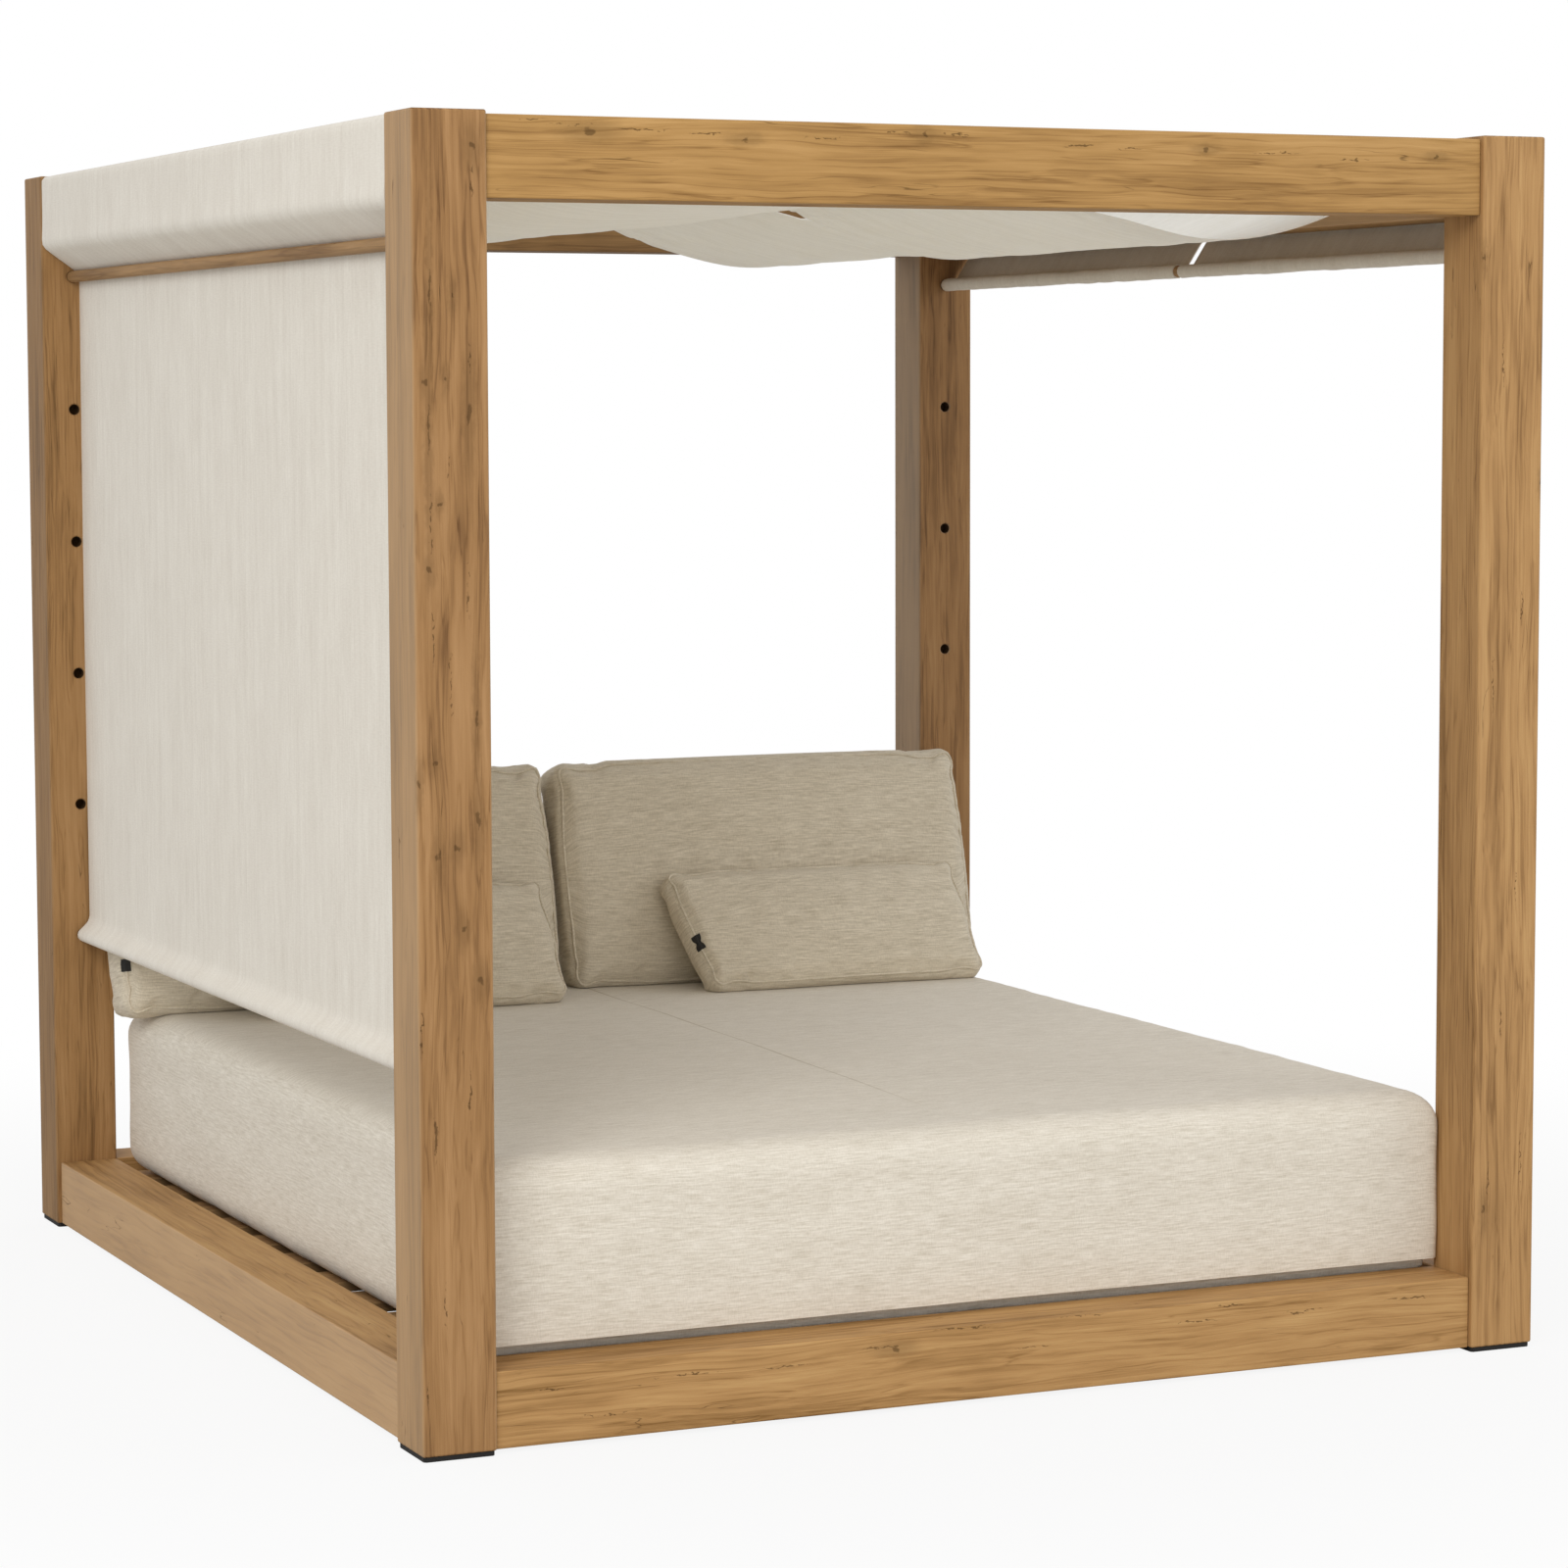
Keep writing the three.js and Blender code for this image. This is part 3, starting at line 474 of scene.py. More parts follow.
def make_post(end, side, material, face):
    """A post with its six holes on the face that looks towards the daybed's middle."""
    node = f"post_{end}_{side}"
    low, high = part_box(node)
    shape = board_shape(low, high, POST_EASE)
    piece = piece_from(shape, f"{node}_timber", material, stands_for=[node])
    bits = bmesh.new()
    for i in range(HOLE_COUNT):
        bit = drill_bit(((low.x + high.x) / 2, face, TOP_HOLE - i * PITCH), -ENDS[end])
        bits.from_mesh(bit)
        bpy.data.meshes.remove(bit)
    bit_mesh = bpy.data.meshes.new("drill_bits")
    bits.to_mesh(bit_mesh)
    bits.free()
    drills = bpy.data.objects.new("drill_bits", bit_mesh)
    scene.collection.objects.link(drills)
    cut = piece.modifiers.new("holes", "BOOLEAN")
    cut.operation = "DIFFERENCE"
    cut.solver = "EXACT"
    cut.object = drills
    applied(piece)
    bpy.data.objects.remove(drills)
    return piece


# %% [markdown]
# The boards that face the photographer carry their own knots and drying checks. Each is given by
# its place on the front face, across and up, and half its length along the grain and half its
# width, all in millimetres.

# %% Knots and checks
POST_MARKS = {
    ("front", "left"): [
        (-1045, 1910, 55, 3), (-1007, 1901, 8, 4), (-1053, 1763, 9, 6), (-1019, 1767, 7, 4),
        (-1049, 1687, 60, 4), (-979, 1712, 28, 6), (-978, 1802, 45, 1.8), (-1014, 1621, 35, 1.7),
        (-1046, 1539, 88, 2), (-1031, 1567, 6, 4), (-1049, 1461, 8, 5), (-1044, 1352, 60, 2.2),
        (-971, 1221, 30, 4), (-1070, 1113, 13, 4), (-1043, 1151, 7, 5), (-1006, 1010, 9, 8),
        (-969, 1055, 20, 6), (-1038, 998, 14, 5), (-1047, 535, 52, 2.8), (-997, 876, 10, 7),
        (-968, 789, 9, 7), (-970, 2140, 10, 8), (-972, 2085, 35, 1.8), (-1015, 1272, 70, 1.8),
        (-1070, 714, 60, 1.7), (-987, 596, 70, 1.8), (-1033, 258, 50, 2.2), (-1065, 114, 30, 1.8),
        (-983, 1430, 60, 2),
    ],
    ("front", "right"): [
        (949, 1984, 10, 3), (1073, 1582, 8, 4), (991, 1797, 60, 1.6), (1036, 1355, 50, 1.6),
        (976, 1215, 70, 1.8), (1029, 856, 60, 1.6), (1000, 606, 40, 1.7), (967, 262, 12, 5),
        (977, 319, 45, 2), (1046, 350, 60, 1.7),
    ],
}
FRONT_MARKS = {
    "top_beam_front": [
        (-762, 2168, 14, 9), (-791, 2179, 60, 2), (-671, 2174, 60, 1.8), (-487, 2162, 9, 6),
        (-557, 2170, 45, 1.8), (-157, 2177, 7, 8), (-208, 2179, 40, 2.2), (-98, 2177, 35, 2.2),
        (137, 2165, 45, 2.4), (232, 2162, 30, 2.2), (384, 2164, 8, 5), (524, 2160, 60, 1.7),
        (852, 2160, 7, 5), (-344, 2168, 45, 2), (-868, 2187, 35, 1.8), (683, 2153, 45, 1.8),
    ],
    "base_rail_front": [
        (-213, 111, 11, 8), (-237, 115, 50, 2.2), (-87, 136, 70, 2), (143, 137, 70, 1.8),
        (815, 110, 62, 2.6), (601, 105, 55, 2), (379, 107, 60, 1.8), (-603, 102, 80, 1.8),
        (-422, 98, 60, 2), (-745, 48, 70, 1.7), (-850, 100, 40, 1.8), (47, 90, 50, 1.6),
        (439, 130, 50, 1.6),
    ],
}


def on_face(rows, face):
    """Marks in metres, on the board's face at a place along the daybed."""
    return [((x / 1000, face, z / 1000), length / 1000, width / 1000) for x, z, length, width in rows]


POST_TONES = {
    ("front", "left"): ("#AF8659", "#9C7448", "#6E4C2A"),
    ("front", "right"): ("#C49B66", "#B38957", "#835F36"),
    ("back", "left"): ("#B28A5C", "#A27A4C", "#72522E"),
    ("back", "right"): ("#AA8458", "#9A7349", "#6B4B2B"),
}
# Painted light and shade on the posts' side faces: a pale grey sheen on the front left and back right posts,
# painted shade on the front right and back left posts.
POST_PAINTED_SIDE_LIGHT = {
    ("front", "left"): ("#D0B48E", 0.32),
    ("front", "right"): ("#5A3F22", 0.10),
    ("back", "left"): ("#5E5242", 0.27),
    ("back", "right"): ("#B8AC98", 0.38),
}
for i, (end, side) in enumerate([(e, s) for e in ENDS for s in SIDES]):
    low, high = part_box(f"post_{end}_{side}")
    middle = (low + high) / 2
    pith = (middle.x + (0.10, -0.12, 0.09, -0.11)[i], middle.y + (0.13, 0.10, -0.12, 0.14)[i])
    inner_face = low.y if end == "back" else high.y
    marks = on_face(POST_MARKS.get((end, side), []), low.y)
    holes = (middle.x, inner_face, TOP_HOLE, PITCH)
    looks = (marks, POST_TONES[end, side], POST_PAINTED_SIDE_LIGHT[end, side], holes)
    teak = oiled_teak(f"oiled_teak_post_{end}_{side}", "Z", pith, 2.3 * i + 1, *looks)
    make_post(end, side, teak, inner_face)

# %% [markdown]
# ## Beams and rails
# Four beams tie the posts at the top and four rails at the foot. Each sits 9 mm back from the
# posts' outer faces, so that the posts stand proud, and ends against the posts with a joint
# line. What is seen ends there; the tenons inside the posts stay in the solids.

# %% Beams and rails
EASE = 0.003
SIDE_TONES = ("#C09A66", "#B08856", "#866238")
RAIL_TONES = ("#C79F68", "#B58B57", "#876233")
# Painted shade: the back top beam takes these darker tones for the shade under the canopy.
PAINTED_SHADE_TONES = ("#8F6E44", "#7E5E38", "#5A4023")
# Painted sheen: the side boards' faces that look along X are mixed half way to a pale grey.
PAINTED_SIDE_BOARD_SHEEN = ("#D0B08C", 0.5)
for kind in ("top_beam", "base_rail"):
    for i, end in enumerate(ENDS):
        node = f"{kind}_{end}"
        low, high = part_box(node)
        low.x, high.x = -INNER_X + JOINT, INNER_X - JOINT
        pith = ((low.y + high.y) / 2 + (0.11, -0.12)[i], (low.z + high.z) / 2 - 0.13)
        marks = on_face(FRONT_MARKS.get(node, []), low.y)
        tones = {"top_beam_front": TEAK_TONES, "top_beam_back": PAINTED_SHADE_TONES}.get(node, RAIL_TONES)
        teak = oiled_teak(f"oiled_teak_{node}", "X", pith, 3.7 * i + len(kind), marks, tones)
        piece_from(board_shape(low, high, EASE), f"{node}_timber", teak, stands_for=[node])
    for i, side in enumerate(SIDES):
        node = f"{kind}_{side}"
        low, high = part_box(node)
        low.y, high.y = -INNER_Y + JOINT, INNER_Y - JOINT
        pith = ((low.x + high.x) / 2 + (0.12, -0.10)[i], (low.z + high.z) / 2 - 0.12)
        seed = 4.9 * i + len(kind) + 3
        teak = oiled_teak(f"oiled_teak_{node}", "Y", pith, seed, tones=SIDE_TONES, painted_side_light=PAINTED_SIDE_BOARD_SHEEN)
        piece_from(board_shape(low, high, EASE), f"{node}_timber", teak, stands_for=[node])

# %% [markdown]
# ## Rods
# Round rods carry the cloth: one along each side at the height of the top holes, one above the
# ridge, and one in the hem of the curtain. They were turned on a lathe, so each is half an
# outline spun round the rod's axis, with thinner ends that sit in the posts. The left rod stays
# bare in the photograph and shows a finer wood than the posts.

# %% Turned rods
def rod_shape(x, height, outline, steps=40):
    """A bmesh turned round a line along the daybed, from (radius, place) pairs."""
    shape = bmesh.new()
    places = [(x + radius, place, height) for radius, place in outline]
    spun(shape, places, (x, 0, height), (0, 1, 0), steps)
    bmesh.ops.recalc_face_normals(shape, faces=shape.faces)
    return shape


def both_ends(half):
    return [(radius, -place) for radius, place in reversed(half)] + half


ROD = 0.012
ROD_TONES = ("#B48E62", "#A07D53", "#80603D")
SLAT_TONES = ("#BB9769", "#A27F55", "#866544")
rod_wood = oiled_teak("oiled_teak_rods", "Y", (0.4, 1.8), 31.0, tones=ROD_TONES, painted_side_light=("#A57446", 0.0))
END_RADIUS, END_LENGTH, EDGE = 0.010, 0.026, 0.001
shoulder = INNER_Y - 0.001
tip = shoulder + END_LENGTH
fixed_rod = [(ROD, shoulder - EDGE), (ROD - EDGE, shoulder), (END_RADIUS, shoulder), (END_RADIUS, tip)]
fixed_rod = both_ends(fixed_rod + [(0, tip)])
for name in ("upper_rod_left", "upper_rod_right", "ridge_rod"):
    low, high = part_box(name)
    shape = rod_shape((low.x + high.x) / 2, (low.z + high.z) / 2, fixed_rod)
    rod = piece_from(shape, f"{name}_turned", rod_wood, stands_for=[name], smooth=True)
    rod.data.set_sharp_from_angle(angle=math.radians(30))

low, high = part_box("hem_rod")
hem_x, hem_z = (low.x + high.x) / 2, (low.z + high.z) / 2
PEG_BORE, BORE_DEPTH, HEM_EDGE = 0.0084, 0.064, 0.0015
bottom = high.y - BORE_DEPTH
hollow_rod = [(ROD, high.y - HEM_EDGE), (ROD - HEM_EDGE, high.y), (PEG_BORE, high.y), (PEG_BORE, bottom)]
hollow_rod = both_ends(hollow_rod + [(0, bottom)])
shape = rod_shape(hem_x, hem_z, hollow_rod)
rod = piece_from(shape, "hem_rod_turned", rod_wood, "curtain_rod", ["hem_rod"], smooth=True)
rod.data.set_sharp_from_angle(angle=math.radians(30))
for end in ENDS:
    nodes[f"hem_peg_{end}"].data.materials.clear()
    nodes[f"hem_peg_{end}"].data.materials.append(rod_wood)
print("rods:", round(2000 * ROD), "mm thick, hem rod at", round(hem_z, 3), "m")

# %% [markdown]
# ## Bed base and feet
# Under the mattress lie plain planed slats on ledgers and a bearer, which only show from below
# or through the gap beside the mattress. Their solids are already the right shape, so they only
# get their wood. The feet are moulded rubber pads: black, dull and slightly grainy.

# %% Slats and pads
slat_wood = oiled_teak("planed_teak_slats", "X", (0.6, 0.4), 41.0, tones=SLAT_TONES)
ledger_wood = oiled_teak("planed_teak_ledgers", "Y", (0.7, 0.5), 47.0, tones=SLAT_TONES)
backrest_wood = oiled_teak("oiled_teak_backrest", "X", (1.3, 0.6), 53.0)

rubber, tree, shader = fresh("moulded_rubber_pads")
# The moulded grain is 1 mm.
grit = {"Vector": add(tree, "TexCoord", out="Object"), "Scale": 900.0, "Detail": 2.0}
grit = add(tree, "TexNoise", grit)
black = add(tree, "ValToRGB", (grit,), stops=[(0.3, "#141312"), (0.7, "#24211F")])
tree.links.new(black, shader.inputs["Base Color"])
shader.inputs["Roughness"].default_value = 0.75
bump = add(tree, "Bump", {"Strength": 0.4, "Distance": 0.0004, "Height": grit})
tree.links.new(bump, shader.inputs["Normal"])

for name, node in nodes.items():
    if name.startswith(("slat_", "centre_", "foot_", "backrest_rail")):
        wood = rubber if name.startswith("foot_") else slat_wood
        wood = ledger_wood if name.startswith(("slat_ledger", "centre_")) else wood
        wood = backrest_wood if name == "backrest_rail" else wood
        node.data.materials.clear()
        node.data.materials.append(wood)
print("slats and bearers:", sum(n.startswith(("slat_", "centre_")) for n in nodes))

# %% [markdown]
# ## Slubbed cloth
# All the fabrics are woven from uneven yarn, and its thick places, the slubs, show as short pale
# and dark dashes along the thread: upright on the curtain, level on the upholstery. Threads are
# 0.6 mm apart, too fine for the picture, so the dashes are drawn 2.5 to 4 mm wide. Every fabric
# piece carries its own map in metres, so the dashes follow the cloth over folds and rods.
# The finish is matt with a faint sheen from loose fibres. The roof canvas lets some daylight
# through, which is what makes its underside glow, so it scatters light inside its 2 mm.

# %% Cloth material
WEAVE_RELIEF = 0.0006


def stitched_line(tree, start, slant):
    """A seam on a piece's top as a thin dark line that starts at a place across it."""
    place = add(tree, "SeparateXYZ", (add(tree, "TexCoord", out="Object"),), None)
    line = add(tree, "Math", (add(tree, "Math", (place["Y"], slant), **TIMES), start), **PLUS)
    off = add(tree, "Math", (add(tree, "Math", (place["X"], line), **MINUS),), **SIZE_OF)
    line = add(tree, "MapRange", (off, 0.0032, 0.0010), **SMOOTH)
    up = add(tree, "SeparateXYZ", (add(tree, "NewGeometry", out="Normal"),), "Z")
    line = add(tree, "Math", (line, add(tree, "MapRange", (up, 0.7, 0.95), **SMOOTH)), **TIMES)
    fade = add(tree, "MapRange", (place["Y"], -1.00, -0.40, 0.0, 0.65), **SMOOTH)
    return add(tree, "Math", (line, fade), **TIMES)


def slub_cloth(name, light, dark, along, width, length, contrast, patches=1.0, seam=None, clear=0.0):
    """A woven cloth whose slubs run along U or V of the piece's own map, in metres."""
    material, tree, shader = fresh(name)
    cloth_map = add(tree, "UVMap", uv_map="cloth")

    def threads(across, along_it, turned, shift, detail=3.0):
        size = (1 / along_it, 1 / across, 1) if turned else (1 / across, 1 / along_it, 1)
        at = {"Vector": cloth_map, "Location": (shift, shift * 1.7, 0), "Scale": size}
        yarn = {"Vector": add(tree, "Mapping", at), "Scale": 1.0, "Detail": detail, "Roughness": 0.55}
        return add(tree, "TexNoise", yarn, noise_dimensions="2D")

    main = threads(width, length, along == "U", 3.1)
    fine = threads(width * 0.45, length * 0.3, along == "U", 8.3)
    cross = threads(width * 0.7, length * 0.25, along != "U", 5.7)
    bands = threads(width * 6, length * 5, along == "U", 4.4, 2.0)
    cloudy = threads(0.09, 0.16, along == "U", 1.9, 2.0)
    weave = add(tree, "Math", (main, 0.61 - 0.36 * patches), **TIMES)
    for pattern, weight in ((fine, 0.17), (cross, 0.22), (bands, 0.22 * patches), (cloudy, 0.14 * patches)):
        weave = add(tree, "Math", (weave, add(tree, "Math", (pattern, weight), **TIMES)), **PLUS)
    spread = 0.20 / contrast
    shade = add(tree, "ValToRGB", (weave,), stops=[(0.5 - spread, dark), (0.5 + spread, light)])
    if seam:
        mix = {0: stitched_line(tree, *seam), 6: shade, 7: colour(dark)}
        shade = add(tree, "Mix", mix, 2, data_type="RGBA", blend_type="MULTIPLY")
    tree.links.new(shade, shader.inputs["Base Color"])
    settings = {"Roughness": 0.92, "Sheen Weight": 0.12, "Sheen Roughness": 0.6, "Specular IOR Level": 0.25}
    if clear:
        settings |= {"Subsurface Weight": clear, "Subsurface Scale": 0.02}
        settings["Subsurface Radius"] = (1.0, 0.9, 0.75)
    for socket, value in settings.items():
        shader.inputs[socket].default_value = value
    bump = add(tree, "Bump", {"Strength": 0.6, "Distance": WEAVE_RELIEF, "Height": weave})
    tree.links.new(bump, shader.inputs["Normal"])
    return material


curtain_canvas = slub_cloth("slubbed_canvas_curtain", "#EDE7DA", "#D6CDBE", "V", 0.0040, 0.060, 1.05)
roof_canvas = slub_cloth("slubbed_canvas_roof", "#E0DACC", "#CAC2B1", "U", 0.0035, 0.12, 0.9, clear=0.9)
soft_slubs = ("U", 0.0034, 0.040)
TOP_SEAM = (0.0285, 0.024)
mattress_cloth = slub_cloth("slubbed_mattress_cloth", "#EFE8DA", "#CCC2AF", *soft_slubs, 1.2, 0.45, TOP_SEAM)
cushion_cloth = slub_cloth("slubbed_cushion_cloth", "#E4D9C3", "#B8AB93", *soft_slubs, 1.25, 0.5)
print("fabrics:", [m.name for m in bpy.data.materials if m.name.startswith("slubbed")])

# %% [markdown]
# ## Sheets
# A sheet starts as a flat grid with a map in metres, and each of its points is then put where
# the hung cloth has it. A line helper gives points along a bent section by true length, with
# rounded corners, so that the cloth neither stretches nor shrinks as it goes over a beam.
# Solidify gives it the 2 mm of a doubled outdoor canvas.

# %% Sheet helpers
def rounded_line(points, radius=0.006, steps=5):
    """A section line through (x, z) points with its corners rounded."""
    points = [Vector(p) for p in points]
    line = [points[0]]
    for before, corner, after in zip(points, points[1:], points[2:]):
        reach = min(radius, (before - corner).length / 2.2, (after - corner).length / 2.2)
        start = corner + (before - corner).normalized() * reach
        stop = corner + (after - corner).normalized() * reach
        for i in range(steps + 1):
            t = i / steps
            line.append(start.lerp(corner, t).lerp(corner.lerp(stop, t), t))
    return line + [points[-1]]


def arc(x, z, radius, start, turn, steps=18):
    """Points of a section round a rod."""
    angles = [start + turn * i / steps for i in range(steps + 1)]
    return [Vector((x + radius * math.cos(a), z + radius * math.sin(a))) for a in angles]


def run_of(line):
    """The length along a section line at each of its points."""
    run = [0.0]
    for a, b in zip(line, line[1:]):
        run.append(run[-1] + (b - a).length)
    return run


def point_at(line, run, share):
    """The point at a share of a line's length, and the line's direction there."""
    goal = share * run[-1]
    i = next((k for k in range(1, len(run)) if run[k] >= goal - 1e-9), len(run) - 1)
    part = (goal - run[i - 1]) / max(run[i] - run[i - 1], 1e-9)
    return line[i - 1].lerp(line[i], part), (line[i] - line[i - 1]).normalized()


def sheet_from(name, material, size, cell, place, body, stands_for, thickness=0.002, origin=(0.0, 0.0)):
    """A grid of cloth of a size in metres, whose points place(u, v) hangs."""
    width, length = size
    columns, rows = max(2, round(width / cell)), max(2, round(length / cell))
    shape = bmesh.new()
    bmesh.ops.create_grid(shape, x_segments=columns, y_segments=rows, size=0.5)
    cloth_map = shape.loops.layers.uv.new("cloth")
    flat = {v: (v.co.x + 0.5, v.co.y + 0.5) for v in shape.verts}
    for face in shape.faces:
        for loop in face.loops:
            u, v = flat[loop.vert]
            loop[cloth_map].uv = (origin[0] + u * width, origin[1] + v * length)
    for point, (u, v) in flat.items():
        point.co = place(u, v)
    piece = piece_from(shape, name, material, body, stands_for, smooth=True)
    wall = piece.modifiers.new("canvas_thickness", "SOLIDIFY")
    wall.thickness = thickness
    wall.offset = 0
    applied(piece)
    shell = bmesh.new()
    shell.from_mesh(piece.data)
    bmesh.ops.recalc_face_normals(shell, faces=shell.faces)
    shell.to_mesh(piece.data)
    shell.free()
    piece.data.set_sharp_from_angle(angle=math.radians(50))
    return piece


def ripple(x, y, z=0.0):
    """A smooth value from -1 to 1 that is the same in every run."""
    return noise.noise(Vector((x, y, z)))


CLOTH_END = INNER_Y - 0.008
print("cloth ends", round(CLOTH_END, 3), "m from the middle")

# %% [markdown]
# ## Roof cloths
# Two strips hang across the daybed, side by side. Each is laid over both side beams and held up
# along a ridge by a rod in a tunnel sewn on its upper side, so it falls in two lobes. The weight
# pulls both edges of a strip in towards its middle, most at the ridge, and soft creases run out
# from there. The section is drawn through points measured in the photograph with a smooth curve,
# because the right lobe is almost straight by the ridge and round in its trough.

# %% Roof strips
def smooth_curve(points, x):
    """Height at x of a smooth curve through (x, z) points in order."""
    i = next((k for k in range(len(points) - 1) if points[k + 1][0] >= x), len(points) - 2)
    (x1, z1), (x2, z2) = points[i], points[i + 1]

    def slope(k):
        if k <= 0:
            return (points[1][1] - points[0][1]) / (points[1][0] - points[0][0])
        if k >= len(points) - 1:
            return (points[-1][1] - points[-2][1]) / (points[-1][0] - points[-2][0])
        return (points[k + 1][1] - points[k - 1][1]) / (points[k + 1][0] - points[k - 1][0])

    t = (x - x1) / (x2 - x1)
    span = x2 - x1
    return (
        (2 * t**3 - 3 * t**2 + 1) * z1
        + (t**3 - 2 * t**2 + t) * span * slope(i)
        + (3 * t**2 - 2 * t**3) * z2
        + (t**3 - t**2) * span * slope(i + 1)
    )


RIDGE_X, RIDGE_Z = 0.088, 2.114
ROOF_Z = 2.1953
BEAM_OUT = 1.066
ridge_point = (RIDGE_X, RIDGE_Z)
left_lobe = {
    "front": [(-0.945, ROOF_Z), (-0.70, 2.118), (-0.43, 2.075), (-0.17, 2.080), ridge_point],
    "back": [(-0.945, ROOF_Z), (-0.70, 2.110), (-0.43, 2.063), (-0.17, 2.071), ridge_point],
}
right_lobe = {
    "front": [ridge_point, (0.284, 2.060), (0.503, 2.0150), (0.729, 2.068), (0.945, ROOF_Z)],
    "back": [ridge_point, (0.30, 2.058), (0.515, 2.027), (0.729, 2.077), (0.945, ROOF_Z)],
}
reach = {"front": (-CLOTH_END, -0.010, 0.120, 0.053), "back": (0.010, CLOTH_END, 0.047, 0.172)}


def roof_section(end):
    """The strip's section from beam to beam, as a line of (x, z) points."""
    line = [Vector((-BEAM_OUT, ROOF_Z)), Vector((-0.99, ROOF_Z)), Vector((-0.952, ROOF_Z))]
    for lobe in (left_lobe[end], right_lobe[end]):
        first, last = lobe[0][0], lobe[-1][0]
        for i in range(1, 41):
            x = first + (last - first) * i / 40
            line.append(Vector((x, smooth_curve(lobe, x))))
    return line + [Vector((0.952, ROOF_Z)), Vector((0.99, ROOF_Z)), Vector((BEAM_OUT, ROOF_Z))]


def crease(x, y, end):
    """Soft creases that run out from where the ridge holds the strip."""
    start, stop, draw_start, draw_stop = reach[end]
    rise = 0.0
    for edge, pull in ((start + draw_start, 1), (stop - draw_stop, -1)):
        away = Vector((x - RIDGE_X, (y - edge) * pull + 0.06))
        angle = math.atan2(away.y, abs(away.x) + 1e-6)
        strength = math.exp(-away.length / 0.38) * min(1.0, away.length / 0.08)
        side = math.copysign(3, x - RIDGE_X)
        rise += 0.010 * strength * ripple(angle * 5.5 + 4 * pull, 1.5 * away.length, side)
    rise += 0.0035 * ripple(x * 3.2, y * 6.5, 7.0)
    hold = min(1.0, abs(x - RIDGE_X) / 0.02, max(0.0, (0.945 - abs(x)) / 0.10))
    return rise * hold


# Where the front strip's inner edge hangs lower: how much, the place across and the width.
FRONT_DIPS = ((0.040, -0.56, 0.20), (0.011, -0.18, 0.19), (0.010, 0.30, 0.13))


def make_strip(end):
    line = roof_section(end)
    run = run_of(line)
    start, stop, draw_start, draw_stop = reach[end]

    def place(u, v):
        point, _ = point_at(line, run, u)
        span = 0.945 + RIDGE_X if point.x < RIDGE_X else 0.945 - RIDGE_X
        near = max(0.0, 1 - abs(point.x - RIDGE_X) / span)
        outer, inner = near**2, near ** (2 if point.x < RIDGE_X else 9)
        first, last = (outer, inner) if end == "front" else (inner, outer)
        first, last = start + draw_start * first, stop - draw_stop * last
        y = first + v * (last - first)
        dip = sum(deep * math.exp(-(((point.x - x) / width) ** 2)) for deep, x, width in FRONT_DIPS)
        dip *= v if end == "front" else 0.0
        return (point.x, y, point.y + crease(point.x, y, end) - dip)

    size = (run[-1], stop - start)
    piece = sheet_from(f"roof_cloth_{end}", roof_canvas, size, 0.0125, place, "frame", [f"canopy_{end}"])
    return piece


for end in ENDS:
    strip = make_strip(end)
    print(strip.name, "faces:", len(strip.data.polygons))

# %% [markdown]
# ## Ridge tunnels
# The rod above each strip runs in a tunnel: a narrow band of the side cloth's canvas, laid over
# the rod and stitched down on both sides of the ridge. Its section is a drop, tight over the rod and
# pinched at the stitches.

# %% Tunnels
def make_tunnel(end):
    start, stop, draw_start, draw_stop = reach[end]
    low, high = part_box("ridge_rod")
    rod_z = (low.z + high.z) / 2
    over = arc(RIDGE_X, rod_z, ROD + 0.0014, math.radians(-50), math.radians(280), 26)
    line = [Vector((RIDGE_X + 0.004, RIDGE_Z + 0.0016)), *over, Vector((RIDGE_X - 0.004, RIDGE_Z + 0.0016))]
    run = run_of(line)
    first, last = start + draw_start + 0.004, stop - draw_stop - 0.004

    def place(u, v):
        point, _ = point_at(line, run, v)
        return (point.x, first + u * (last - first), point.y)

    size = (last - first, run[-1])
    name = f"ridge_tunnel_{end}"
    piece = sheet_from(name, curtain_canvas, size, 0.0045, place, "frame", [], thickness=0.0012)
    return piece


for end in ENDS:
    print(make_tunnel(end).name)

# %% [markdown]
# ## Left side: valance and curtain
# One cloth covers the left side. It lies over the beam, hangs down its outer face to a fold,
# slants in over the top of the rod and drops behind it as the curtain. The curtain shortens
# when its hem rod is hung in higher holes, so it is a piece of its own, apart from the part in
# the frame. The cloth is wound tight, so it is nearly flat, with faint waves where it was
# pulled along the fold.

# %% Valance and curtain
rod_low, rod_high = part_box("upper_rod_left")
ROD_X, ROD_Z = (rod_low.x + rod_high.x) / 2, (rod_low.z + rod_high.z) / 2
WRAP = ROD + 0.0013
FACE_X = 1.0715
VALANCE_END = INNER_Y - 0.003
FOLD_Z = 2.0577
OVER_Z = 2.1977


def touch_angle(x, z):
    """The angle on the rod at which a straight cloth from a point touches its top."""
    offset = Vector((x - ROD_X, z - ROD_Z))
    return math.atan2(offset.y, offset.x) - math.acos(WRAP / offset.length)


corners = [(-0.945, OVER_Z), (-FACE_X, OVER_Z), (-FACE_X, FOLD_Z), (ROD_X, ROD_Z + WRAP)]
over_beam = rounded_line(corners, 0.009)[:-1]
start_angle = touch_angle(-FACE_X, FOLD_Z)
valance_line = over_beam + arc(ROD_X, ROD_Z, WRAP, start_angle, -start_angle, 8)
valance_run = run_of(valance_line)
fold_to_rod = (Vector((-FACE_X, FOLD_Z)) - Vector((ROD_X, ROD_Z))).length
fold_share = 1 - fold_to_rod / valance_run[-1]


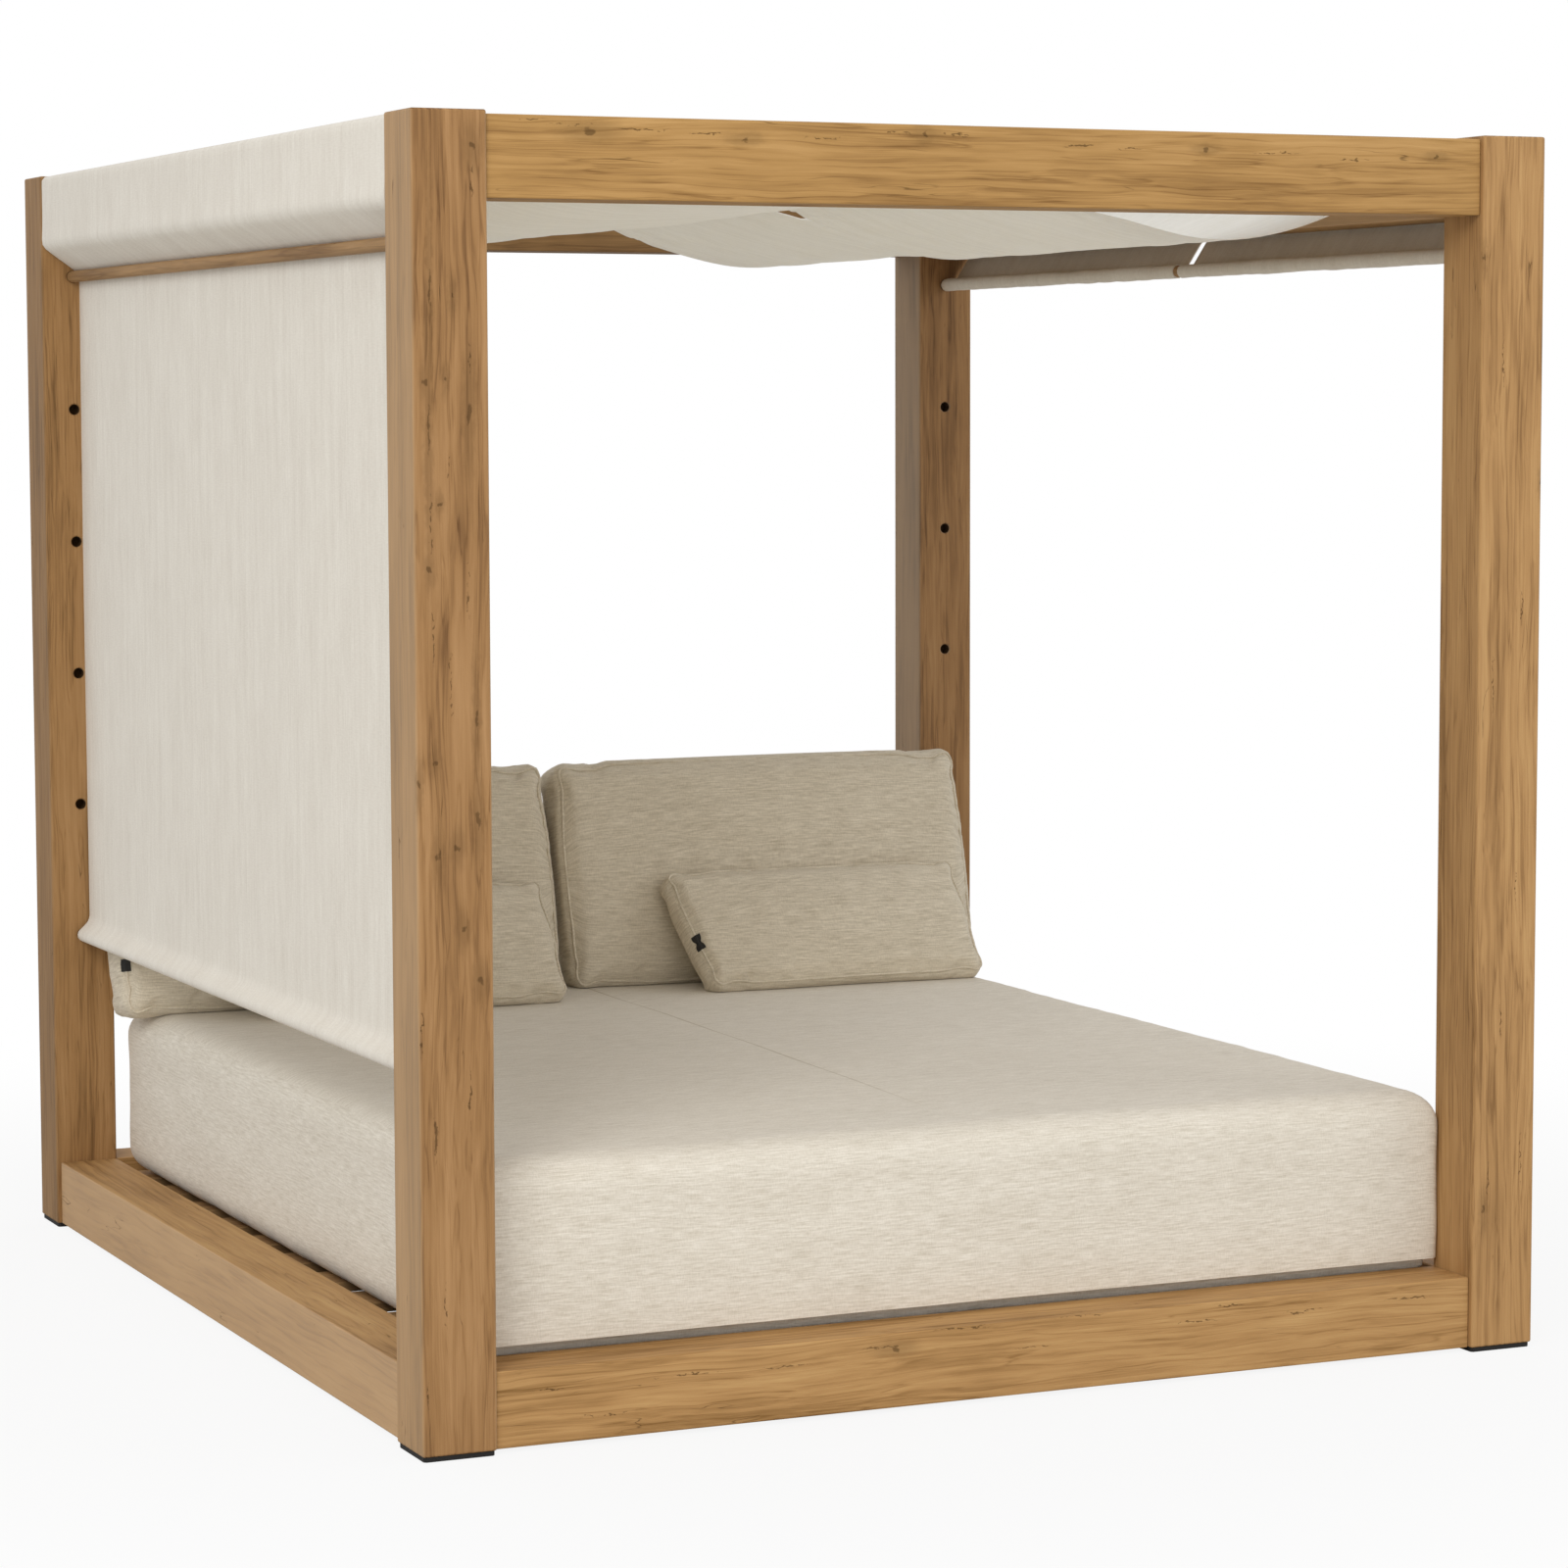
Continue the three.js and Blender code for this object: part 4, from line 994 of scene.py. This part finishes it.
def hang_valance(u, v):
    point, direction = point_at(valance_line, valance_run, v)
    y = -VALANCE_END + u * 2 * VALANCE_END
    outward = Vector((-direction.y, direction.x)) * -1
    free = math.exp(-(((v - fold_share) / 0.10) ** 2))
    slack = 0.0022 + 0.0026 * ripple(y * 3.0, 2.0) + 0.0014 * ripple(y * 11.0, v * 6.0, 4.0)
    slack = free * max(0.0, slack)
    return (point.x + outward.x * slack, y, point.y + outward.y * slack)


size = (2 * VALANCE_END, valance_run[-1])
valance = sheet_from(
    "valance_left_cloth", curtain_canvas, size, 0.010, hang_valance, "frame", ["valance_left"]
)

CURTAIN_X = ROD_X + WRAP
CURTAIN_TOP, CURTAIN_END = 1.9937, 0.700
CURTAIN_DROP = CURTAIN_TOP - CURTAIN_END


def hang_curtain(u, v):
    y = -CLOTH_END + u * 2 * CLOTH_END
    z = CURTAIN_TOP - v * CURTAIN_DROP
    free = math.sin(math.pi * v) ** 0.7
    wave = 0.0040 * ripple(y * 2.2, z * 0.5, 1.0) + 0.0014 * ripple(y * 9.0, z * 0.9, 5.0)
    return (CURTAIN_X + free * wave, y, z)


size = (2 * CLOTH_END, CURTAIN_DROP)
curtain = sheet_from(
    "side_curtain_cloth", curtain_canvas, size, 0.013, hang_curtain, "frame", ["side_curtain"]
)
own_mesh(curtain)
print("curtain drop:", round(CURTAIN_DROP, 3), "m")

# %% [markdown]
# ## Hem sleeve
# The curtain sweeps outward over the hem rod, passes under it and comes up again inside, where
# it is stitched to itself about 40 mm above the rod's middle. So from outside no stitched edge shows. The
# part round the rod has to ride with the rod, so it is a second piece that starts in the same
# plane where the curtain ends, with its map carried on, so the slubs run through.

# %% Hem sleeve
BEND_Z = 0.649
touch = Vector((CURTAIN_X - hem_x, BEND_Z - hem_z))
outer_touch = math.atan2(touch.y, touch.x) + math.acos(WRAP / touch.length)
around = arc(hem_x, hem_z, WRAP, outer_touch, 2 * math.pi - outer_touch, 26)
sleeve_line = rounded_line([(CURTAIN_X, CURTAIN_END), (CURTAIN_X, BEND_Z), around[0]], 0.021)[:-1] + around
# The turned-in end comes up behind the curtain and lies against it.
inside = ((0.0006, 0.016), (0.0024, 0.030), (0.0023, 0.040))
sleeve_line += [Vector((CURTAIN_X + behind, hem_z + above)) for behind, above in inside]
sleeve_run = run_of(sleeve_line)


def hang_sleeve(u, v):
    point, _ = point_at(sleeve_line, sleeve_run, v)
    return (point.x, -CLOTH_END + u * 2 * CLOTH_END, point.y)


size = (2 * CLOTH_END, sleeve_run[-1])
sleeve = sheet_from(
    "hem_sleeve_cloth", curtain_canvas, size, 0.006, hang_sleeve, "curtain_rod", ["hem_sleeve"],
    origin=(0.0, CURTAIN_DROP),
)
print("sleeve goes", round(sleeve_run[-1] * 1000), "mm round the hem rod")

# %% [markdown]
# ## Right side cloths
# The two cloths of the right side are rolled up: each comes over the beam, folds in at its lower
# edge and is wound round the right rod, with small gathers across the roll. Between them is a
# gap of 20 mm.

# %% Right side
right_over = [Vector((-p.x, p.y)) for p in over_beam]
first_touch = math.pi - touch_angle(-FACE_X, FOLD_Z) - 2 * math.acos(WRAP / fold_to_rod)
wound = arc(-ROD_X, ROD_Z, WRAP, first_touch, 2 * math.pi * 0.9, 30)
right_line = right_over + wound
right_run = run_of(right_line)
right_fold = sum((b - a).length for a, b in zip(right_over, right_over[1:])) / right_run[-1]


def make_right_cloth(end):
    start, stop = sorted([ENDS[end] * 0.010, ENDS[end] * CLOTH_END])

    def place(u, v):
        point, direction = point_at(right_line, right_run, v)
        y = start + u * (stop - start)
        outward = Vector((direction.y, -direction.x))
        low_part = max(0.0, min(1.0, (v - right_fold + 0.05) / 0.1))
        gathers = 0.0014 * ripple(y * 24.0, v * 3.0, 2.0) + 0.0016 * ripple(y * 7.0, v * 2.0, 6.0)
        slack = low_part * gathers
        return (point.x + outward.x * slack, y, point.y + outward.y * slack)

    size = (stop - start, right_run[-1])
    node = f"valance_right_{end}"
    piece = sheet_from(f"{node}_cloth", curtain_canvas, size, 0.0065, place, "frame", [node])
    return piece


for end in ENDS:
    print(make_right_cloth(end).name)

# %% [markdown]
# ## Stuffed pieces
# A cushion or mattress starts as a box with rounded edges, crowned faces and sides that are
# drawn in between the corners. A cube is cut into a fine grid and every point is moved to that
# form. Its cloth map is laid so that the level slubs run along the daybed's width on the front,
# top and back and along its depth on the ends, as the real covers are cut.

# %% Stuffed form
def stuffed_shape(size, round_over, crown, draw_in, across, cells, flat_base=False):
    """A bmesh of a stuffed box round the origin; across is the axis of its broad faces."""
    shape = bmesh.new()
    bmesh.ops.create_cube(shape, size=2)
    for axis in range(3):
        edges = [e for e in shape.edges if abs((e.verts[0].co - e.verts[1].co)[axis]) > 1e-6]
        bmesh.ops.subdivide_edges(shape, edges=edges, cuts=cells[axis] - 1, use_grid_fill=True)
    half = [s / 2 for s in size]
    others = [a for a in range(3) if a != across]
    for v in shape.verts:
        unit = list(v.co)
        core = [max(round_over - half[a], min(half[a] - round_over, unit[a] * half[a])) for a in range(3)]
        out = Vector([unit[a] * half[a] - core[a] for a in range(3)])
        if out.length > 0:
            out = out.normalized() * round_over
        point = [core[a] + out[a] for a in range(3)]
        fall = (1 - unit[others[0]] ** 2) * (1 - unit[others[1]] ** 2)
        lift = 0 if flat_base and unit[across] < 0 else crown
        point[across] += lift * fall * unit[across]
        for a, other in (others, others[::-1]):
            point[a] -= draw_in * unit[a] ** 3 * (1 - unit[other] ** 2)
        v.co = point
    return shape


def lay_weave(mesh, upright, front=0.0):
    """A cloth map in metres; upright is the matrix back to the piece's own straight frame."""
    layer = mesh.uv_layers.get("cloth") or mesh.uv_layers.new(name="cloth")
    turn = upright.to_3x3()
    for face in mesh.polygons:
        normal = turn @ face.normal
        for loop in face.loop_indices:
            p = upright @ mesh.vertices[mesh.loops[loop].vertex_index].co
            if abs(normal.x) > 0.72:
                layer.data[loop].uv = (p.y + 5, p.z)
            elif normal.y > 0.72:
                layer.data[loop].uv = (p.x, p.z + 9)
            else:
                layer.data[loop].uv = (p.x, p.z + (p.y - front) * max(-1.0, min(1.0, p.z / 0.04)))


# %% [markdown]
# ## Mattress
# A block of foam in a fitted cover, 1.87 m wide and 2.14 m long, on the slats. Its cover pulls
# the upper edge into a soft round with small slanting puckers, and one seam runs along the top
# a little right of the middle. Foam doesn't puff up like a filled bag, so the form is set
# directly and the puckers are small moves of its points along their normals.

# %% Mattress
MATTRESS_TOP, MATTRESS_BASE = 0.467, 0.1126
MATTRESS_SIZE = (1.872, 2.140, MATTRESS_TOP - MATTRESS_BASE)
MATTRESS_ROUND = 0.058
LIP_FOOT = 0.154
POST_SIDE, POST_REACH = 0.9442, 1.05
mattress_place = Vector((0.0085, -0.013, MATTRESS_TOP - MATTRESS_SIZE[2] / 2))
shape = stuffed_shape(MATTRESS_SIZE, MATTRESS_ROUND, 0.006, 0.004, 2, (150, 170, 28), flat_base=True)
shape.normal_update()
moves = {}
for v in shape.verts:
    x, y, z = v.co
    edge_top = math.exp(-(((z - MATTRESS_SIZE[2] / 2 + 0.02) / 0.030) ** 2))
    rim = max(0.0, (max(abs(x) / (MATTRESS_SIZE[0] / 2), abs(y) / (MATTRESS_SIZE[1] / 2)) - 0.86) / 0.14)
    pucker = 0.0026 * edge_top * rim * ripple((x + y) * 14.0 + z * 10, (x - y) * 14.0, 3.0)
    soft = 0.0026 * ripple(x * 2.6, y * 2.6, z * 5.0)
    groove = -0.0018 * math.exp(-(((x - 0.020 - 0.024 * y) / 0.006) ** 2)) * (z > 0.1)
    side = 0.0026 * ripple(x * 6.0, y * 6.0, z * 14.0) * (1 - edge_top) * rim
    moves[v] = v.normal * (pucker + soft + groove + side)
corner_x, corner_y = MATTRESS_SIZE[0] / 2 - MATTRESS_ROUND, MATTRESS_SIZE[1] / 2 - MATTRESS_ROUND
for v, move in moves.items():
    # The posts square the upright corners off.
    beside, along = abs(v.co.x) - corner_x, abs(v.co.y) - corner_y
    if beside > 0 and along > 0:
        longest = math.hypot(beside, along)
        fuller = ((beside / longest) ** 10 + (along / longest) ** 10) ** -0.1 - 1
        v.co.x += math.copysign(beside * fuller, v.co.x)
        v.co.y += math.copysign(along * fuller, v.co.y)
    v.co += move + mattress_place
    # At the front the foam swells forward above the rail, in a lip with a flat foot.
    forward = 0.022 * max(0.0, min(1.0, (-v.co.y - 0.90) / 0.16))
    if v.co.z > LIP_FOOT:
        v.co.y -= forward
    if forward > 0.015 and abs(v.co.z - LIP_FOOT) < 0.0128:
        v.co.z = LIP_FOOT + (0.0022 if v.co.z > LIP_FOOT else 0.0008)
    if abs(v.co.y) > POST_REACH:
        v.co.x = max(-POST_SIDE, min(POST_SIDE, v.co.x))
    v.co.z = max(v.co.z, MATTRESS_BASE)
mattress = piece_from(
    shape, "mattress_cover", mattress_cloth, "mattress", ["mattress"], smooth=True
)
mattress.data.set_sharp_from_angle(angle=math.radians(65))
lay_weave(mattress.data, Matrix.Identity(4))
print("mattress faces:", len(mattress.data.polygons))

# %% [markdown]
# ## Filled cushions
# Back and lumbar cushions are bags filled with loose fibre. They are simulated: the stuffed form
# is made a little small, remeshed evenly so that the cloth has no preferred direction, and blown
# up by Blender's Cloth with pressure and without gravity. Each point may only move so far, which
# keeps the cushion in the room that its solid holds. The result is fixed in the mesh. Then the
# cushion is set down: points that would reach into what carries it are moved onto its surface,
# which leaves the flat patches on which a real cushion stands.

# %% Inflating and setting down
def inflate(piece, voxel, pressure, cap):
    """Blows a closed piece up as cloth, with each point's move capped."""
    even = piece.modifiers.new("even_mesh", "REMESH")
    even.mode = "VOXEL"
    even.voxel_size = voxel
    applied(piece)
    start = [v.co.copy() for v in piece.data.vertices]
    cloth = piece.modifiers.new("filling", "CLOTH")
    cloth.settings.quality = 5
    cloth.settings.mass = 0.3
    cloth.settings.tension_stiffness = 15
    cloth.settings.compression_stiffness = 5
    cloth.settings.bending_stiffness = 0.5
    cloth.settings.use_pressure = True
    cloth.settings.uniform_pressure_force = pressure
    cloth.settings.effector_weights.gravity = 0
    cloth.point_cache.frame_start = 1
    cloth.point_cache.frame_end = 20
    for number in range(1, 21):
        scene.frame_set(number)
    view = bpy.context.evaluated_depsgraph_get()
    blown = [v.co.copy() for v in piece.evaluated_get(view).data.vertices]
    piece.modifiers.clear()
    for v, before, after in zip(piece.data.vertices, start, blown):
        move = after - before
        v.co = before + (move if move.length <= cap else move.normalized() * cap)
    scene.frame_set(1)


def surface_of(piece):
    return BVHTree.FromObject(piece, bpy.context.evaluated_depsgraph_get())


def settle(piece, carriers, gap=0.0008):
    """Moves points that lie in a carrier, or closer than the gap, onto its surface."""
    moved = 0
    for carrier in carriers:
        surface = surface_of(carrier)
        for v in piece.data.vertices:
            near, normal, _, off = surface.find_nearest(v.co, 0.06)
            if near and (v.co - near).dot(normal) < gap:
                v.co = near + normal * gap
                moved += 1
    print(piece.name, "rests with", moved, "points")


def rumple(piece, upright, half, depth):
    """Level folds over a cushion's faces and short puckers towards its corners."""
    piece.data.update()
    normals = [v.normal.copy() for v in piece.data.vertices]
    for v, normal in zip(piece.data.vertices, normals):
        p = upright @ v.co
        corner = min(1.0, (abs(p.x) / half[0]) ** 4 * (abs(p.z) / half[1]) ** 4 * 1.6)
        fold = ripple(p.x * 3.2, p.z * 17.0, p.y * 6.0) + 0.5 * ripple(p.x * 7.5, p.z * 34.0, 3.0)
        pull = ripple(math.atan2(p.z, p.x) * 26.0, p.length * 4.0, 8.0)
        v.co += normal * depth * (0.8 * fold * (1 - corner) + 1.5 * pull * corner)


def fitted(piece, upright, size, corner):
    """Brings a blown-up cushion's outline to straight sides with round corners."""
    places = [upright @ v.co for v in piece.data.vertices]
    bands = 44
    for axis, other in ((0, 2), (2, 0)):
        low, high = min(p[axis] for p in places), max(p[axis] for p in places)
        for p in places:
            p[axis] = (p[axis] - (low + high) / 2) * size[axis] / (high - low)
    for axis, other in ((0, 2), (2, 0)):
        reach = [[0.0, 0.0] for _ in range(bands + 1)]
        spots = [max(0.0, min(bands - 1e-6, (p[other] / size[other] + 0.5) * bands)) for p in places]
        for p, spot in zip(places, spots):
            row = reach[round(spot)]
            row[p[axis] > 0] = max(row[p[axis] > 0], abs(p[axis]))
        for p, spot in zip(places, spots):
            k, side = int(spot), p[axis] > 0
            have = reach[k][side] * (k + 1 - spot) + reach[k + 1][side] * (spot - k)
            inset = max(0.0, abs(p[other]) - size[other] / 2 + corner)
            want = size[axis] / 2 - corner + math.sqrt(max(0.0, corner**2 - inset**2))
            p[axis] *= max(0.93, min(1.10, want / max(have, 1e-4)))
    stand = upright.inverted()
    for v, p in zip(piece.data.vertices, places):
        v.co = stand @ p


def leaning(node, lean, move):
    """The matrix that stands a cushion in its solid's box, moved a little, leaning back."""
    low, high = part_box(node)
    return Matrix.Translation((low + high) / 2 + Vector(move)) @ Matrix.Rotation(-lean, 4, "X")


# %% [markdown]
# ## Seams and tags
# The covers are boxed: a side band joins the front and the back, and each of the two seams is
# corded. The seam's line is found by looking at the cushion from all round, with rays, at the
# band's two edges. A round cord is laid along it, and the cloth beside it is pulled in. Two
# cushions also have a small folded tag in the seam. It is woven tape, black and left bare.

# %% Seams and tags
def seam_path(piece, stand, half, level, count=300):
    """Points on a cushion round the edge of its side band, at a level across its thickness."""
    surface = surface_of(piece)
    back = stand.inverted()
    ring = []
    for i in range(count):
        angle = 2 * math.pi * i / count
        c, s = math.cos(angle), math.sin(angle)
        across, up = (math.copysign(abs(part) ** 0.25, part) for part in (c, s))
        side = Vector((half[0] * across, 0, half[1] * up))
        heart = Vector((side.x * max(0.0, 1 - half[1] / abs(half[0]) * 0.9), level, 0))
        start = Vector((side.x * 1.15, level, side.z * 1.3))
        hit, normal, _, _ = surface.ray_cast(stand @ start, (stand @ heart) - (stand @ start), 1.0)
        if hit:
            ring.append((back @ hit, back.to_3x3() @ normal))
    for _ in range(3):
        beside = zip(ring[-1:] + ring, ring, ring[1:] + ring[:1])
        ring = [((a[0] + 2 * b[0] + c[0]) / 4, b[1]) for a, b, c in beside]
    return ring


def cord_mesh(ring, stand, radius, lift):
    """A closed round cord along a ring of points, as a mesh."""
    line = bpy.data.curves.new("seam_cord", "CURVE")
    line.dimensions = "3D"
    line.bevel_depth = radius
    line.bevel_resolution = 2
    thread = line.splines.new("POLY")
    thread.points.add(len(ring) - 1)
    thread.use_cyclic_u = True
    for point, (place, normal) in zip(thread.points, ring):
        point.co = (*(stand @ (place + normal * lift)), 1)
    holder = bpy.data.objects.new("seam_cord", line)
    scene.collection.objects.link(holder)
    mesh = bpy.data.meshes.new_from_object(holder.evaluated_get(bpy.context.evaluated_depsgraph_get()))
    bpy.data.objects.remove(holder)
    return mesh


def sew_seams(piece, name, stand, half, levels, radius, body):
    """Pulls the cover in along its seams and lays a cord on each; gives back the rings."""
    rings = [seam_path(piece, stand, half, level) for level in levels]
    back = stand.inverted()
    for ring in rings:
        tree = KDTree(len(ring))
        for i, (place, _) in enumerate(ring):
            tree.insert(place, i)
        tree.balance()
        piece.data.update()
        normals = [v.normal.copy() for v in piece.data.vertices]
        for v, normal in zip(piece.data.vertices, normals):
            _, _, off = tree.find(back @ v.co)
            v.co -= normal * 0.0022 * math.exp(-((off / 0.009) ** 2))
    cords = bmesh.new()
    for ring in rings:
        mesh = cord_mesh(ring, stand, radius, -0.0006)
        cords.from_mesh(mesh)
        bpy.data.meshes.remove(mesh)
    piping = piece_from(cords, name, cushion_cloth, body, smooth=True)
    lay_weave(piping.data, back)
    return rings


tag_tape, tree, shader = fresh("woven_black_tape")
# Polyester tape: dull black with fine ribs, drawn 2 mm apart.
ribs = {"Vector": add(tree, "UVMap", uv_map="cloth"), "Scale": 80.0, "Distortion": 0.3}
ribs = add(tree, "TexWave", ribs, "Fac")
black = add(tree, "ValToRGB", (ribs,), stops=[(0.2, "#171614"), (0.8, "#2B2926")])
tree.links.new(black, shader.inputs["Base Color"])
shader.inputs["Roughness"].default_value = 0.8
bump = add(tree, "Bump", {"Strength": 0.5, "Distance": 0.0003, "Height": ribs})
tree.links.new(bump, shader.inputs["Normal"])


def sew_tag(piece, name, ring, stand, spot, size, waist, body):
    """A small tag of tape folded over the seam at a spot in the cushion's straight frame."""
    surface = surface_of(piece)
    i = min(range(len(ring)), key=lambda k: (ring[k][0] - Vector(spot)).length)
    middle = stand @ ring[i][0]
    down = (stand @ ring[(i + 2) % len(ring)][0] - stand @ ring[i - 2][0]).normalized()
    over = (stand.to_3x3() @ ring[i][1]).cross(down).normalized()

    def place(u, v):
        width = size[0] * (1 - waist * math.exp(-(((v - 0.5) / 0.16) ** 2)))
        at = middle + down * (v - 0.5) * size[1] + over * (u - 0.5) * width
        near, normal, _, _ = surface.find_nearest(at)
        proud = 0.0012 + 0.0026 * math.exp(-(((u - 0.5) / 0.22) ** 2))
        return near + normal * (proud + 0.0008 * math.sin(math.pi * v))

    tag = sheet_from(name, tag_tape, size, 0.0018, place, body, [], thickness=0.0008)
    return tag


# %% [markdown]
# ## Cushions
# All four cushions are made in the same steps: stuffed, stood in place leaning back, blown up,
# folded, brought to size, set down on what carries them, and sewn. A cushion's own numbers say
# how it was cut: its form before and after filling in metres, how plump it is, and where its
# seams run across its thickness.

# %% Cushion maker
PRESSURE, CORD_RADIUS = 4.0, 0.0028
cushions = {}


def make_cushion(node, body, cut, shift, carriers):
    """Gives back a finished cushion, the ring of its front seam, and how it stands."""
    stand = leaning(node, math.radians(cut["lean"]), (0, 0, cut["sink"]))
    upright = stand.inverted()
    shape = stuffed_shape(cut["start"], *cut["form"], 1, cut["cells"])
    bmesh.ops.transform(shape, matrix=stand, verts=shape.verts)
    cushion = piece_from(
        shape, f"{node}_filled", cushion_cloth, body, [node], smooth=True
    )
    inflate(cushion, cut["voxel"], PRESSURE, cut["puff"])
    half = (cut["size"][0] / 2, cut["size"][2] / 2)
    rumple(cushion, upright, half, cut["folds"])
    fitted(cushion, upright, cut["size"], cut["corner"])
    for v in cushion.data.vertices:
        shift(v, stand, upright, half)
    settle(cushion, carriers)
    reach = (half[0] + cut["reach"], half[1])
    rings = sew_seams(cushion, f"{node}_piping", stand, reach, (-cut["seam"], cut["seam"]), CORD_RADIUS, body)
    lay_weave(cushion.data, upright, cut["front"])
    for face in cushion.data.polygons:
        face.use_smooth = True
    cushions[node] = cushion
    print(cushion.name, len(cushion.data.polygons), "faces")
    return cushion, rings[0], stand


# %% [markdown]
# ## Back cushions
# Two wide cushions stand on the mattress, before the back posts, and lean on the rail behind.
# They are plump, with straight sides and round corners, and meet in the middle.

# %% Back cushions
BACK = {
    "lean": 14, "sink": 0, "start": (0.982, 0.114, 0.502), "form": (0.020, 0.021, 0.006),
    "cells": (60, 8, 34), "voxel": 0.007, "puff": 0.014, "folds": 0.0026, "size": (0.980, 0.0, 0.504),
    "corner": 0.040, "reach": 0.01, "seam": 0.054, "front": -0.072,
}
OUTWARD, MIDDLE_GAP = 0.007, 0.0010
back_posts = [scene.objects[f"post_back_{side}_timber"] for side in SIDES]
for side in SIDES:
    node, body = f"back_cushion_{side}", f"{side}_back_cushion"

    def part_them(v, stand, upright, half):
        """The cushions part in the middle, and don't hang past the mattress's round edge."""
        v.co.x = SIDES[side] * max(MIDDLE_GAP, (v.co.x + SIDES[side] * OUTWARD) * SIDES[side])
        v.co.z = max(v.co.z, MATTRESS_TOP - 0.006)

    carriers = [mattress, nodes["backrest_rail"]] + back_posts
    cushion, ring, stand = make_cushion(node, body, BACK, part_them, carriers)
    if side == "left":
        spot = (-0.490, -0.054, -0.142)
        sew_tag(cushion, f"{node}_tag", ring, stand, spot, (0.022, 0.026), 0.0, body)

# %% [markdown]
# ## Lumbar cushions
# Two smaller boxed cushions lie against the back cushions, further over, with their fronts up
# to the sky. They rest on the mattress and on the back cushions.

# %% Lumbar cushions
LUMBAR = {
    "lean": 37, "sink": -0.004, "start": (0.682, 0.066, 0.296), "form": (0.016, 0.022, 0.010),
    "cells": (48, 6, 24), "voxel": 0.0055, "puff": 0.010, "folds": 0.0020, "size": (0.676, 0.0, 0.294),
    "corner": 0.030, "reach": 0.03, "seam": 0.029, "front": -0.050,
}
SLANT = 0.026


def slip(v, stand, upright, half):
    """The filling has slipped, so the left end slants."""
    p = upright @ v.co
    p.x -= SLANT * p.z / half[1] * max(0.0, -p.x / half[0]) ** 2
    v.co = stand @ p


for side in SIDES:
    node, body = f"lumbar_cushion_{side}", f"{side}_lumbar_cushion"
    carriers = [mattress, cushions[f"back_cushion_{side}"]]
    cushion, ring, stand = make_cushion(node, body, LUMBAR, slip, carriers)
    if side == "right":
        spot = (-0.335, -0.029, -0.030)
        sew_tag(cushion, f"{node}_tag", ring, stand, spot, (0.022, 0.036), 0.45, body)
